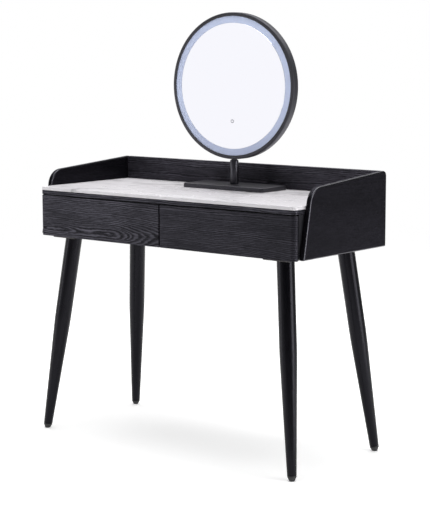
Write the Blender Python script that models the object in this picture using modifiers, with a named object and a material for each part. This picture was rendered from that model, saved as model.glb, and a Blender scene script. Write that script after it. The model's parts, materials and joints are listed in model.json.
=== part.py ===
"""Vanity table with a round lighted mirror on a post, as separate pieces in their rest pose.

Run it with: blender --background --python part.py
Units are metres, +Z is up and -Y is the side that the sitter faces. The origin is on the floor,
under the middle of the table. Left and right are as the sitter sees them.
"""

import math

import bmesh
import bpy
from mathutils import Matrix, Vector

# Driving sizes of the table.
WIDTH = 1.000
DEPTH = 0.420
SURFACE_Z = 0.755
FIT = 0.0003
CUT_SPARE = 0.010
FRONT_Y = -DEPTH / 2
BACK_Y = DEPTH / 2

# Boards, worked out from the top down.
SLAB_THICK = 0.010
SLAB_EDGE = 0.0010
TOP_THICK = 0.012
WING_THICK = 0.016
CASE_SIDE_THICK = 0.014
BOTTOM_THICK = 0.012
DIVIDER_THICK = 0.016
BACK_THICK = 0.016
BACK_INSET = 0.008
SLAB_Z = SURFACE_Z - SLAB_THICK
TOP_BOARD_Z = SLAB_Z - TOP_THICK
INNER_X = WIDTH / 2 - WING_THICK
BAY_OUTER_X = INNER_X - CASE_SIDE_THICK
BACK_FACE_Y = BACK_Y - BACK_INSET - BACK_THICK
CORNER_RADIUS = 0.014
CORNER_STEPS = 6

# Drawer fronts overhang the case at the front and hide its edges.
FRONT_THICK = 0.016
FRONT_TOP_GAP = 0.003
FRONT_BOTTOM_Z = 0.6065
FRONTS_GAP = 0.004
FRONT_INNER_RADIUS = 0.0015
FRONT_REBATE = 0.0025
FRONT_OVERHANG = 0.006
CASE_FRONT_Y = FRONT_Y + FRONT_THICK + FRONT_REBATE
CASE_BOTTOM_Z = FRONT_BOTTOM_Z + FRONT_OVERHANG

# Wings: side boards that rise past the top, with a leaning front edge.
WING_BOTTOM_Z = FRONT_BOTTOM_Z + 0.0015
WING_LEAN = math.radians(11.1)
WING_TOP_RISE = math.radians(4.2)
WING_REAR_Z = 0.8275
WING_FRONT_RADIUS = 0.050
WING_REAR_RADIUS = 0.015
WING_STEPS = 10
GALLERY_Z = WING_REAR_Z - 0.0015

# Legs lean outwards both ways.
LEG_TOP = Vector((0.405, 0.145))
LEG_FOOT = Vector((0.475, 0.205))
LEG_RADIUS = 0.0249
LEG_TIP_RADIUS = 0.0133
LEG_TAPER_FROM = 0.345
LEG_STEPS = 32
TRIM_SPARE = 0.004
BLOCK_SIDE = 0.090
BLOCK_THICK = 0.012
BLOCK_Z = CASE_BOTTOM_Z - BLOCK_THICK
GLIDE_HEIGHT = 0.014
GLIDE_RIM = 0.003
GLIDE_RADIUS = LEG_TIP_RADIUS - 0.0004
GLIDE_FLOOR_RADIUS = 0.008
GLIDE_STEM = (0.004, 0.016)
BOLT_RADIUS = 0.004
BOLT_IN_LEG = 0.040
BOLT_IN_CASE = 0.018
BOLT_CLEARANCE = 0.0004
BOLT_CHAMFER = 0.001
BOLT_END_GAP = 0.002
BOLT_STEPS = 20

# Drawer boxes and their telescopic runners.
BAY_INNER_X = DIVIDER_THICK / 2
BAY_WIDTH = BAY_OUTER_X - BAY_INNER_X
BAY_CENTRE_X = (BAY_OUTER_X + BAY_INNER_X) / 2
RUNNER_SPACE = 0.0127
BOX_THICK = 0.012
BOX_BOTTOM_Z = 0.634
BOX_TOP_Z = 0.719
BOX_LENGTH = 0.340
BOX_BACK_TOP_Z = BOX_TOP_Z - 0.007
TRAY_THICK = 0.005
TRAY_Z = BOX_BOTTOM_Z + 0.0105
GROOVE_DEPTH = 0.006
RUNNER_Z = (BOX_BOTTOM_Z + BOX_TOP_Z) / 2
RUNNER_LENGTH = 0.330
RUNNER_START = 0.022
RUNNER_GAUGE = 0.0012
RUNNER_BALL_GAP = 0.0016
RUNNER_HEIGHT = 0.035
# Where each member's web and open edges stand in the gap, from the bay's wall.
CABINET_MEMBER_SPAN = (FIT, 0.0110)
MIDDLE_MEMBER_SPAN = (0.0030, 0.0115)
DRAWER_MEMBER_SPAN = (RUNNER_SPACE - FIT, 0.0055)

# Mirror stand: a flat base on the slab, with a hollow post.
STAND = Vector((0.0228, 0.108, SURFACE_Z))
BASE_SIZE = Vector((0.309, 0.124))
BASE_THICK = 0.0135
BASE_SKIN = 0.004
BASE_RADIUS = 0.014
BASE_EDGE = 0.0030
BASE_POCKET = 0.044
DUCT_WIDTH = 0.0095
DUCT_LAP = 0.003
POST_RADIUS = 0.013
POST_BORE = 0.0055
POST_CHAMFER = 0.0006
POST_STEPS = 32
SPIGOT_RADIUS = 0.008
NUT_ACROSS_FLATS = 0.024
NUT_THICK = 0.0045
NUT_EDGE = 0.0005
SPIGOT_PAST_NUT = 0.0015
INLET_RADIUS = 0.0039
INLET_LENGTH = 0.014
INLET_INSET = 0.0004
INLET_BORE = (0.0027, 0.0095)
INLET_CONTACT = (0.0009, 0.0020)

# Lighted mirror head, which swivels on the post and tilts on a pin.
MIRROR_Z = 1.0617
RIM_RADIUS = 0.2178
RIM_DEPTH = 0.025
RIM_WALL = 0.003
RIM_CHAMFER = 0.0008
LIP_RADIUS = 0.2070
LIP_THICK = 0.0017
LIP_ROUND = 0.002
GLASS_RADIUS = 0.1872
GLASS_THICK = 0.004
DIFFUSER_RADIUS = 0.2128
DIFFUSER_THICK = 0.003
DIFFUSER_LEDGE = 0.010
LEDGE_THICK = 0.002
LED_RADII = (0.190, 0.2055)
LED_THICK = 0.0016
COVER_RADIUS = RIM_RADIUS - RIM_WALL - 0.0006
COVER_THICK = 0.0018
COVER_INSET = 0.0002
COVER_CHAMFER = 0.0005
SENSOR_DROP = 0.104
SENSOR_RADIUS = 0.010
SENSOR_THICK = 0.0015
HEAD_TURN = math.radians(4.0)
TILT_CLEARANCE = 0.0026
COLLAR_THICK = 0.0028
COLLAR_TOP_RADIUS = 0.0118
COLLAR_OVERLAP = 0.002
STUB_RADIUS = 0.0090
STUB_LENGTH = 0.026
STUB_END_GAP = 0.001
STUB_WIRE_BORE = 0.0040
STUB_RUNNING_GAP = 0.0001
PIN_RADIUS = 0.0020
PIN_CHAMFER = 0.0003
PIN_PAST_EARS = 0.0022
PIN_ABOVE_RIM = 0.013
TONGUE_WIDTH = 0.016
TONGUE_THICK = 0.007
KNUCKLE_RADIUS = 0.0045
SLOT_LENGTH = 0.0150
SLOT_WIDTH = TONGUE_WIDTH + 0.0016
BRACKET_GAUGE = 0.002
BRACKET_SHIM = 0.0011
BRACKET_LENGTH = 0.034
BRACKET_DEPTH = 0.0142
BRACKET_SLOT = 0.0118
BRACKET_EARS_DEPTH = 0.011
BRACKET_EAR_TOP = 0.006
BRACKET_EAR_INSET = 0.0002
BRACKET_BORE_CLEARANCE = 0.0001
HEAD_STEPS = 72
SMALL_STEPS = 24

# How far a board's edges are eased: one cut for hidden boards, a small round for those that show.
EDGE_EASED = 0.0008
EDGE_ROUND = 0.0012

SIDES = {"left": -1, "right": 1}
ENDS = {"front": -1, "rear": 1}

# Name: base colour, roughness, metallic.
FINISHES = {
    "black_veneer": ((0.036, 0.036, 0.041), 0.55, 0.0),
    "white_stone": ((0.780, 0.770, 0.775), 0.18, 0.0),
    "leg_lacquer": ((0.012, 0.012, 0.014), 0.32, 0.0),
    "block_wood": ((0.040, 0.038, 0.040), 0.60, 0.0),
    "drawer_lining": ((0.300, 0.290, 0.275), 0.60, 0.0),
    "zinc_steel": ((0.560, 0.570, 0.580), 0.35, 1.0),
    "black_nylon": ((0.020, 0.020, 0.021), 0.50, 0.0),
    "satin_black_metal": ((0.022, 0.022, 0.025), 0.38, 0.6),
    "mirror_silver": ((0.900, 0.905, 0.920), 0.02, 1.0),
    "frosted_acrylic": ((0.560, 0.610, 0.800), 0.45, 0.0),
    "circuit_board": ((0.700, 0.700, 0.680), 0.40, 0.0),
    "black_plastic": ((0.018, 0.018, 0.019), 0.45, 0.0),
}


def clear_scene():
    for obj in list(bpy.data.objects):
        bpy.data.objects.remove(obj, do_unlink=True)


def new_collection(name):
    collection = bpy.data.collections.new(name)
    bpy.context.scene.collection.children.link(collection)
    return collection


def make_finish(name, colour, roughness, metallic):
    finish = bpy.data.materials.new(name)
    finish.use_nodes = True
    shader = finish.node_tree.nodes["Principled BSDF"]
    shader.inputs["Base Color"].default_value = (*colour, 1.0)
    shader.inputs["Roughness"].default_value = roughness
    shader.inputs["Metallic"].default_value = metallic
    finish.diffuse_color = (*colour, 1.0)
    return finish


def add_object(name, mesh, finish=None, parent=None):
    """An object in the table's collection or, with no finish, a hidden cutter."""
    obj = bpy.data.objects.new(name, mesh)
    if finish:
        bpy.data.collections["vanity_table"].objects.link(obj)
        mesh.materials.append(bpy.data.materials[finish])
    else:
        bpy.data.collections["cutters"].objects.link(obj)
        obj.hide_render = True
        obj.display_type = "WIRE"
    obj.parent = parent
    return obj


def add_pivot(name, location, parent=None, turn=0.0):
    """An empty on a joint's axis, or at a sub-assembly's own origin."""
    pivot = bpy.data.objects.new(name, None)
    bpy.data.collections["vanity_table"].objects.link(pivot)
    pivot.location = location
    pivot.rotation_euler.z = turn
    pivot.parent = parent
    return pivot


def add_box(name, low, high, finish=None, parent=None):
    """A rectangular board between two corners, with its origin at its centre."""
    low = Vector(low)
    high = Vector(high)
    mesh = bpy.data.meshes.new(name)
    shape = bmesh.new()
    bmesh.ops.create_cube(shape, size=1.0)
    bmesh.ops.scale(shape, vec=high - low, verts=shape.verts)
    shape.to_mesh(mesh)
    shape.free()
    obj = add_object(name, mesh, finish, parent)
    obj.location = (low + high) / 2
    return obj


def add_rod(name, start, end, radius, finish=None, parent=None, segments=SMALL_STEPS):
    """A round bar between two points, with its origin halfway along."""
    start = Vector(start)
    end = Vector(end)
    mesh = bpy.data.meshes.new(name)
    shape = bmesh.new()
    bmesh.ops.create_cone(
        shape,
        cap_ends=True,
        segments=segments,
        radius1=radius,
        radius2=radius,
        depth=(end - start).length,
    )
    shape.to_mesh(mesh)
    shape.free()
    obj = add_object(name, mesh, finish, parent)
    obj.location = (start + end) / 2
    obj.rotation_mode = "QUATERNION"
    obj.rotation_quaternion = Vector((0, 0, 1)).rotation_difference(end - start)
    return obj


def rounded(corners, steps=CORNER_STEPS):
    """The points of an anticlockwise outline whose convex corners are (u, v, radius)."""
    points = []
    for index, (u, v, radius) in enumerate(corners):
        corner = Vector((u, v))
        if radius == 0:
            points.append(corner)
            continue
        before = (Vector(corners[index - 1][:2]) - corner).normalized()
        after = (Vector(corners[(index + 1) % len(corners)][:2]) - corner).normalized()
        half = before.angle(after) / 2
        centre = corner + (before + after).normalized() * radius / math.sin(half)
        arm = corner + before * radius / math.tan(half) - centre
        for step in range(steps + 1):
            turn = Matrix.Rotation((math.pi - 2 * half) * step / steps, 2)
            points.append(centre + turn @ arm)
    return points


def add_plate(name, outline, thickness, finish=None, parent=None):
    """A flat outline in local XY, with its thickness centred on local Z."""
    curve = bpy.data.curves.new(name, "CURVE")
    curve.dimensions = "2D"
    curve.fill_mode = "BOTH"
    curve.extrude = thickness / 2
    spline = curve.splines.new("POLY")
    spline.points.add(len(outline) - 1)
    for point, (u, v) in zip(spline.points, outline):
        point.co = (u, v, 0, 1)
    spline.use_cyclic_u = True
    guide = bpy.data.objects.new(name + "_guide", curve)
    bpy.context.scene.collection.objects.link(guide)
    graph = bpy.context.evaluated_depsgraph_get()
    mesh = bpy.data.meshes.new_from_object(guide.evaluated_get(graph))
    mesh.name = name
    bpy.data.objects.remove(guide, do_unlink=True)
    mesh.materials.clear()
    shape = bmesh.new()
    shape.from_mesh(mesh)
    bmesh.ops.remove_doubles(shape, verts=shape.verts, dist=1e-6)
    bmesh.ops.dissolve_limit(
        shape, angle_limit=math.radians(0.1), verts=shape.verts, edges=shape.edges
    )
    bmesh.ops.recalc_face_normals(shape, faces=shape.faces)
    shape.to_mesh(mesh)
    shape.free()
    return add_object(name, mesh, finish, parent)


def add_turned(name, profile, finish=None, parent=None, steps=POST_STEPS, ring=False):
    """A profile of (radius, height) points turned about local Z, top first on its outer side."""
    mesh = bpy.data.meshes.new(name)
    shape = bmesh.new()
    corners = [shape.verts.new((radius, 0, height)) for radius, height in profile]
    for first, second in zip(corners, corners[1:]):
        shape.edges.new((first, second))
    if ring:
        shape.edges.new((corners[-1], corners[0]))
    shape.to_mesh(mesh)
    shape.free()
    obj = add_object(name, mesh, finish, parent)
    screw = obj.modifiers.new("Turn", "SCREW")
    screw.steps = steps
    screw.render_steps = steps
    screw.use_merge_vertices = True
    screw.merge_threshold = 1e-5
    screw.use_smooth_shade = True
    return obj


def combine(obj, other, operation="DIFFERENCE"):
    boolean = obj.modifiers.new(operation.title(), "BOOLEAN")
    boolean.operation = operation
    boolean.solver = "EXACT"
    boolean.object = other


def soften(obj, width, segments=1):
    """A small round on every sharp edge."""
    bevel = obj.modifiers.new("Soften", "BEVEL")
    bevel.width = width
    bevel.segments = segments
    bevel.limit_method = "ANGLE"
    bevel.angle_limit = math.radians(40)
    bevel.use_clamp_overlap = True


def top_outline(front_y, back_y, half_width):
    """The slab and the board below it: square at the back, rounded at the front corners."""
    return rounded(
        [
            (-half_width, front_y, CORNER_RADIUS),
            (half_width, front_y, CORNER_RADIUS),
            (half_width, back_y, 0),
            (-half_width, back_y, 0),
        ]
    )


def make_tops():
    outline = top_outline(FRONT_Y, BACK_FACE_Y - FIT, INNER_X - FIT)
    slab = add_plate("stone_top", outline, SLAB_THICK - FIT, "white_stone")
    slab.location.z = SLAB_Z + (SLAB_THICK + FIT) / 2
    soften(slab, SLAB_EDGE, 2)
    board = add_plate("top_board", outline, TOP_THICK, "black_veneer")
    board.location.z = TOP_BOARD_Z + TOP_THICK / 2
    soften(board, EDGE_EASED)


def make_case():
    low_z = CASE_BOTTOM_Z + BOTTOM_THICK + FIT
    high_z = TOP_BOARD_Z - FIT
    bottom = add_box(
        "case_bottom",
        (-INNER_X + FIT, CASE_FRONT_Y, CASE_BOTTOM_Z),
        (INNER_X - FIT, BACK_FACE_Y - FIT, CASE_BOTTOM_Z + BOTTOM_THICK),
        "black_veneer",
    )
    for name, side in SIDES.items():
        edges = sorted((side * BAY_OUTER_X, side * (INNER_X - FIT)))
        panel = add_box(
            f"case_side_{name}",
            (edges[0], CASE_FRONT_Y, low_z),
            (edges[1], BACK_FACE_Y - FIT, high_z),
            "black_veneer",
        )
        soften(panel, EDGE_EASED)
    divider = add_box(
        "centre_divider",
        (-BAY_INNER_X, CASE_FRONT_Y, low_z),
        (BAY_INNER_X, BACK_FACE_Y - FIT, high_z),
        "black_veneer",
    )
    soften(divider, EDGE_EASED)
    back = add_box(
        "back_panel",
        (-INNER_X + FIT, BACK_FACE_Y, CASE_BOTTOM_Z),
        (INNER_X - FIT, BACK_FACE_Y + BACK_THICK, GALLERY_Z),
        "black_veneer",
    )
    soften(back, EDGE_ROUND, 2)
    return bottom


def wing_outline():
    """The wing in (y, z): a leaning front edge, a slowly rising top and rounded top corners."""
    rise = math.tan(WING_TOP_RISE)
    lean = math.tan(WING_LEAN)
    run = DEPTH - (CASE_FRONT_Y - FRONT_Y)
    height = (WING_REAR_Z - WING_BOTTOM_Z - run * rise) / (1 - lean * rise)
    front_top = (CASE_FRONT_Y + height * lean, WING_BOTTOM_Z + height)
    return rounded(
        [
            (CASE_FRONT_Y, WING_BOTTOM_Z, 0),
            (BACK_Y, WING_BOTTOM_Z, 0),
            (BACK_Y, WING_REAR_Z, WING_REAR_RADIUS),
            (*front_top, WING_FRONT_RADIUS),
        ],
        steps=WING_STEPS,
    )


def make_wings():
    for name, side in SIDES.items():
        wing = add_plate(f"wing_{name}", wing_outline(), WING_THICK - FIT, "black_veneer")
        wing.rotation_euler = (math.pi / 2, 0, math.pi / 2)
        wing.location.x = side * (WIDTH / 2 - (WING_THICK - FIT) / 2)
        soften(wing, EDGE_ROUND, 2)


def leg_axis(side, end):
    """The leg's axis: a point on the floor and the unit vector up the leg."""
    foot = Vector((side * LEG_FOOT.x, end * LEG_FOOT.y, 0))
    top = Vector((side * LEG_TOP.x, end * LEG_TOP.y, BLOCK_Z))
    return foot, (top - foot).normalized()


def lean_with(obj, foot, up):
    obj.location = foot
    obj.rotation_mode = "QUATERNION"
    obj.rotation_quaternion = Vector((0, 0, 1)).rotation_difference(up)


def make_legs(case_bottom):
    above = add_box(
        "trim_above_legs", (-WIDTH, -DEPTH, BLOCK_Z - FIT), (WIDTH, DEPTH, SURFACE_Z)
    )
    below = add_box("trim_below_floor", (-WIDTH, -DEPTH, -CUT_SPARE), (WIDTH, DEPTH, 0))
    for end_name, end in ENDS.items():
        for side_name, side in SIDES.items():
            place = f"{end_name}_{side_name}"
            foot, up = leg_axis(side, end)
            make_leg(place, foot, up, above, below)
            block = make_leg_block(place, side, end)
            make_leg_bolt(place, foot, up, block, case_bottom)
    soften(case_bottom, EDGE_EASED)


def make_leg(place, foot, up, above, below):
    top = BLOCK_Z / up.z + 3 * TRIM_SPARE
    bore = BOLT_RADIUS + BOLT_CLEARANCE
    bore_end = BLOCK_Z / up.z - BOLT_IN_LEG
    stem_radius, stem_length = GLIDE_STEM
    tip = GLIDE_HEIGHT
    leg = add_turned(
        f"leg_{place}",
        [
            (0, bore_end),
            (bore, bore_end),
            (bore, top),
            (LEG_RADIUS, top),
            (LEG_RADIUS, LEG_TAPER_FROM),
            (LEG_TIP_RADIUS, tip),
            (stem_radius + FIT, tip),
            (stem_radius + FIT, tip + stem_length + FIT),
            (0, tip + stem_length + FIT),
        ],
        "leg_lacquer",
        steps=LEG_STEPS,
    )
    lean_with(leg, foot, up)
    combine(leg, above)
    glide = add_turned(
        f"foot_glide_{place}",
        [
            (0, tip + stem_length),
            (stem_radius, tip + stem_length),
            (stem_radius, tip - FIT),
            (GLIDE_RADIUS, tip - FIT),
            (GLIDE_RADIUS, tip - GLIDE_RIM),
            (GLIDE_FLOOR_RADIUS, -TRIM_SPARE),
            (0, -TRIM_SPARE),
        ],
        "black_nylon",
        steps=LEG_STEPS,
    )
    lean_with(glide, foot, up)
    combine(glide, below)


def make_leg_block(place, side, end):
    half = BLOCK_SIDE / 2
    centre = Vector((side * LEG_TOP.x, end * LEG_TOP.y, 0))
    return add_box(
        f"leg_block_{place}",
        centre + Vector((-half, -half, BLOCK_Z)),
        centre + Vector((half, half, CASE_BOTTOM_Z - FIT)),
        "block_wood",
    )


def make_leg_bolt(place, foot, up, block, case_bottom):
    """A double-ended bolt on the leg's axis, and its holes in the block and the case bottom."""
    joint = BLOCK_Z / up.z
    low = joint - BOLT_IN_LEG + BOLT_END_GAP
    high = joint + BOLT_IN_CASE
    bolt = add_turned(
        f"leg_bolt_{place}",
        [
            (0, high),
            (BOLT_RADIUS - BOLT_CHAMFER, high),
            (BOLT_RADIUS, high - BOLT_CHAMFER),
            (BOLT_RADIUS, low + BOLT_CHAMFER),
            (BOLT_RADIUS - BOLT_CHAMFER, low),
            (0, low),
        ],
        "zinc_steel",
        steps=BOLT_STEPS,
    )
    lean_with(bolt, foot, up)
    bore = add_rod(
        f"bolt_bore_{place}",
        foot + up * low,
        foot + up * (high + BOLT_END_GAP),
        BOLT_RADIUS + BOLT_CLEARANCE,
        segments=BOLT_STEPS,
    )
    combine(block, bore)
    combine(case_bottom, bore)
    soften(block, EDGE_EASED)


def make_drawer(name, side):
    """One drawer. Its parent stands at the front plane, in the middle of its bay."""
    drawer = add_pivot(f"{name}_drawer_slide", (side * BAY_CENTRE_X, FRONT_Y, 0))
    middle = add_pivot(f"{name}_middle_slide", (side * BAY_CENTRE_X, FRONT_Y, 0))
    make_drawer_front(name, side, drawer)
    make_drawer_box(name, drawer)
    for wall_name, wall in SIDES.items():
        make_runner(f"{name}_{wall_name}", side, wall, drawer, middle)


def make_drawer_front(name, side, drawer):
    outer = side * (INNER_X - FIT - BAY_CENTRE_X)
    inner = side * (FRONTS_GAP / 2 - BAY_CENTRE_X)
    radii = {outer: CORNER_RADIUS, inner: FRONT_INNER_RADIUS}
    left = min(outer, inner)
    right = max(outer, inner)
    front = add_plate(
        f"drawer_front_{name}",
        rounded(
            [
                (left, 0, radii[left]),
                (right, 0, radii[right]),
                (right, FRONT_THICK, 0),
                (left, FRONT_THICK, 0),
            ]
        ),
        TOP_BOARD_Z - FRONT_TOP_GAP - FRONT_BOTTOM_Z,
        "black_veneer",
        drawer,
    )
    front.location.z = (TOP_BOARD_Z - FRONT_TOP_GAP + FRONT_BOTTOM_Z) / 2
    combine(front, make_groove(f"front_groove_{name}", drawer))
    soften(front, EDGE_EASED, 2)


def box_half_width():
    return BAY_WIDTH / 2 - RUNNER_SPACE


def make_groove(name, drawer):
    """The cutter for the groove that the drawer's bottom slides into, on three sides."""
    reach = box_half_width() - BOX_THICK + GROOVE_DEPTH
    return add_box(
        name,
        (-reach, FRONT_THICK - GROOVE_DEPTH, TRAY_Z - FIT),
        (reach, FRONT_THICK + BOX_LENGTH + CUT_SPARE, TRAY_Z + TRAY_THICK + FIT),
        parent=drawer,
    )


def make_drawer_box(name, drawer):
    outer = box_half_width()
    inner = outer - BOX_THICK
    start = FRONT_THICK + FIT
    end = FRONT_THICK + BOX_LENGTH
    groove = make_groove(f"side_groove_{name}", drawer)
    for wall_name, wall in SIDES.items():
        edges = sorted((wall * inner, wall * outer))
        panel = add_box(
            f"drawer_side_{name}_{wall_name}",
            (edges[0], start, BOX_BOTTOM_Z),
            (edges[1], end, BOX_TOP_Z),
            "drawer_lining",
            drawer,
        )
        combine(panel, groove)
        soften(panel, EDGE_EASED)
    back = add_box(
        f"drawer_back_{name}",
        (-inner + FIT, end - BOX_THICK, TRAY_Z + TRAY_THICK + FIT),
        (inner - FIT, end, BOX_BACK_TOP_Z),
        "drawer_lining",
        drawer,
    )
    soften(back, EDGE_EASED)
    reach = inner + GROOVE_DEPTH - FIT * 2
    add_box(
        f"drawer_bottom_{name}",
        (-reach, FRONT_THICK - GROOVE_DEPTH + FIT * 2, TRAY_Z),
        (reach, end, TRAY_Z + TRAY_THICK),
        "drawer_lining",
        drawer,
    )


def channel(wall_x, inwards, web, open_end, height):
    """A C section in (x, z): its web stands at one distance from the bay's wall, its lips at another."""
    grow = math.copysign(RUNNER_GAUGE, open_end - web)
    half = height / 2
    steps = [
        (web, -half),
        (open_end, -half),
        (open_end, -half + RUNNER_GAUGE),
        (web + grow, -half + RUNNER_GAUGE),
        (web + grow, half - RUNNER_GAUGE),
        (open_end, half - RUNNER_GAUGE),
        (open_end, half),
        (web, half),
    ]
    return [(wall_x + inwards * distance, height) for distance, height in steps]


def make_runner(place, side, wall, drawer, middle):
    """A full-extension runner: the cabinet, middle and drawer members, nested."""
    wall_x = wall * BAY_WIDTH / 2
    step = 2 * (RUNNER_GAUGE + RUNNER_BALL_GAP)
    members = {
        "cabinet": (*CABINET_MEMBER_SPAN, RUNNER_HEIGHT, None),
        "middle": (*MIDDLE_MEMBER_SPAN, RUNNER_HEIGHT - step, middle),
        "drawer": (*DRAWER_MEMBER_SPAN, RUNNER_HEIGHT - 2 * step, drawer),
    }
    for member, (web, open_end, height, parent) in members.items():
        rail = add_plate(
            f"runner_{member}_{place}",
            channel(wall_x, -wall, web, open_end, height),
            RUNNER_LENGTH,
            "zinc_steel",
            parent,
        )
        rail.rotation_euler.x = math.pi / 2
        rail.location = (0, RUNNER_START + RUNNER_LENGTH / 2, RUNNER_Z)
        if parent is None:
            rail.location += Vector((side * BAY_CENTRE_X, FRONT_Y, 0))


def make_stand():
    """The base, its nut and power inlet, and the post. Their parent is on the slab at the post."""
    stand = add_pivot("mirror_stand", STAND)
    half_x = BASE_SIZE.x / 2
    half_y = BASE_SIZE.y / 2
    base = add_plate(
        "mirror_base",
        rounded(
            [
                (-half_x, -half_y, BASE_RADIUS),
                (half_x, -half_y, BASE_RADIUS),
                (half_x, half_y, BASE_RADIUS),
                (-half_x, half_y, BASE_RADIUS),
            ]
        ),
        BASE_THICK - FIT,
        "satin_black_metal",
        stand,
    )
    base.location.z = (BASE_THICK + FIT) / 2
    half = BASE_POCKET / 2
    ceiling = BASE_THICK - BASE_SKIN
    pocket = add_box("base_pocket", (-half, -half, -CUT_SPARE), (half, half, ceiling), parent=stand)
    wide = DUCT_WIDTH / 2
    duct_end = half_y - INLET_LENGTH + DUCT_LAP
    duct = add_box(
        "base_duct", (-wide, half - DUCT_LAP, -CUT_SPARE), (wide, duct_end, ceiling), parent=stand
    )
    inlet_z = (BASE_THICK + FIT) / 2
    socket = add_rod(
        "base_inlet_hole",
        (0, duct_end - 2 * DUCT_LAP, inlet_z),
        (0, half_y + CUT_SPARE, inlet_z),
        INLET_RADIUS + FIT,
        parent=stand,
    )
    hole = add_rod(
        "base_post_hole",
        (0, 0, ceiling - CUT_SPARE),
        (0, 0, BASE_THICK + CUT_SPARE),
        SPIGOT_RADIUS + FIT,
        parent=stand,
        segments=POST_STEPS,
    )
    soften(base, BASE_EDGE, 3)
    for cutter in (pocket, duct, socket, hole):
        combine(base, cutter)
    make_inlet(stand, half_y, inlet_z)
    make_nut(stand, ceiling)
    post_top = MIRROR_Z - RIM_RADIUS - TILT_CLEARANCE - COLLAR_THICK - STAND.z
    make_post(stand, post_top)
    return post_top


def make_inlet(stand, rear_y, height):
    """A round low-voltage socket with its centre contact, let into the base's rear edge."""
    bore_radius, bore_depth = INLET_BORE
    contact_radius, contact_depth = INLET_CONTACT
    inlet = add_turned(
        "power_inlet",
        [
            (0, -contact_depth),
            (contact_radius, -contact_depth),
            (contact_radius, -bore_depth),
            (bore_radius, -bore_depth),
            (bore_radius, 0),
            (INLET_RADIUS, 0),
            (INLET_RADIUS, -INLET_LENGTH),
            (0, -INLET_LENGTH),
        ],
        "black_plastic",
        stand,
        steps=SMALL_STEPS,
    )
    inlet.rotation_euler.x = -math.pi / 2
    inlet.location = (0, rear_y - INLET_INSET, height)


def make_nut(stand, ceiling):
    top = ceiling - FIT
    corner = NUT_ACROSS_FLATS / math.sqrt(3)
    nut = add_rod(
        "post_nut",
        (0, 0, top - NUT_THICK),
        (0, 0, top),
        corner,
        "zinc_steel",
        stand,
        segments=6,
    )
    bore = add_rod(
        "nut_bore",
        (0, 0, top - 2 * NUT_THICK),
        (0, 0, top + NUT_THICK),
        SPIGOT_RADIUS + FIT,
        parent=stand,
        segments=POST_STEPS,
    )
    combine(nut, bore)
    soften(nut, NUT_EDGE)


def make_post(stand, post_top):
    shoulder = BASE_THICK + FIT
    spigot_end = BASE_THICK - BASE_SKIN - NUT_THICK - SPIGOT_PAST_NUT
    bore_top = post_top - STUB_LENGTH - STUB_END_GAP
    stub_bore = STUB_RADIUS + STUB_RUNNING_GAP
    add_turned(
        "post",
        [
            (stub_bore, post_top),
            (POST_RADIUS - POST_CHAMFER, post_top),
            (POST_RADIUS, post_top - POST_CHAMFER),
            (POST_RADIUS, shoulder + POST_CHAMFER),
            (POST_RADIUS - POST_CHAMFER, shoulder),
            (SPIGOT_RADIUS, shoulder),
            (SPIGOT_RADIUS, spigot_end),
            (POST_BORE, spigot_end),
            (POST_BORE, bore_top),
            (stub_bore, bore_top),
        ],
        "satin_black_metal",
        stand,
        ring=True,
    )


def make_knuckle(swivel, pin_z):
    """The piece that turns in the post's top and carries the head on its tongue."""
    collar_top = COLLAR_THICK
    knuckle = add_turned(
        "swivel_knuckle",
        [
            (0, collar_top),
            (COLLAR_TOP_RADIUS, collar_top),
            (POST_RADIUS - POST_CHAMFER, COLLAR_THICK / 3),
            (POST_RADIUS - POST_CHAMFER, FIT),
            (STUB_RADIUS, FIT),
            (STUB_RADIUS, -STUB_LENGTH),
            (STUB_WIRE_BORE, -STUB_LENGTH),
            (STUB_WIRE_BORE, -COLLAR_OVERLAP),
            (0, -COLLAR_OVERLAP),
        ],
        "satin_black_metal",
        swivel,
    )
    half_x = TONGUE_WIDTH / 2
    half_y = TONGUE_THICK / 2
    tongue = add_box(
        "tongue_blank",
        (-half_x, -half_y, collar_top - COLLAR_OVERLAP),
        (half_x, half_y, pin_z),
        parent=swivel,
    )
    eye = add_rod(
        "tongue_eye", (-half_x, 0, pin_z), (half_x, 0, pin_z), KNUCKLE_RADIUS, parent=swivel
    )
    bore = add_rod(
        "tongue_bore",
        (-half_x - CUT_SPARE, 0, pin_z),
        (half_x + CUT_SPARE, 0, pin_z),
        PIN_RADIUS + FIT,
        parent=swivel,
    )
    combine(knuckle, tongue, "UNION")
    combine(knuckle, eye, "UNION")
    combine(knuckle, bore)
    half_pin = half_x + BRACKET_GAUGE + PIN_PAST_EARS
    pin = add_rod(
        "tilt_pin",
        (-half_pin, 0, pin_z),
        (half_pin, 0, pin_z),
        PIN_RADIUS,
        "zinc_steel",
        swivel,
    )
    soften(pin, PIN_CHAMFER)


def face_forward(obj, height=0.0):
    """Turns a lathe shape so that its own +Z points to the sitter."""
    obj.rotation_euler.x = math.pi / 2
    obj.location.z = height


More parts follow.
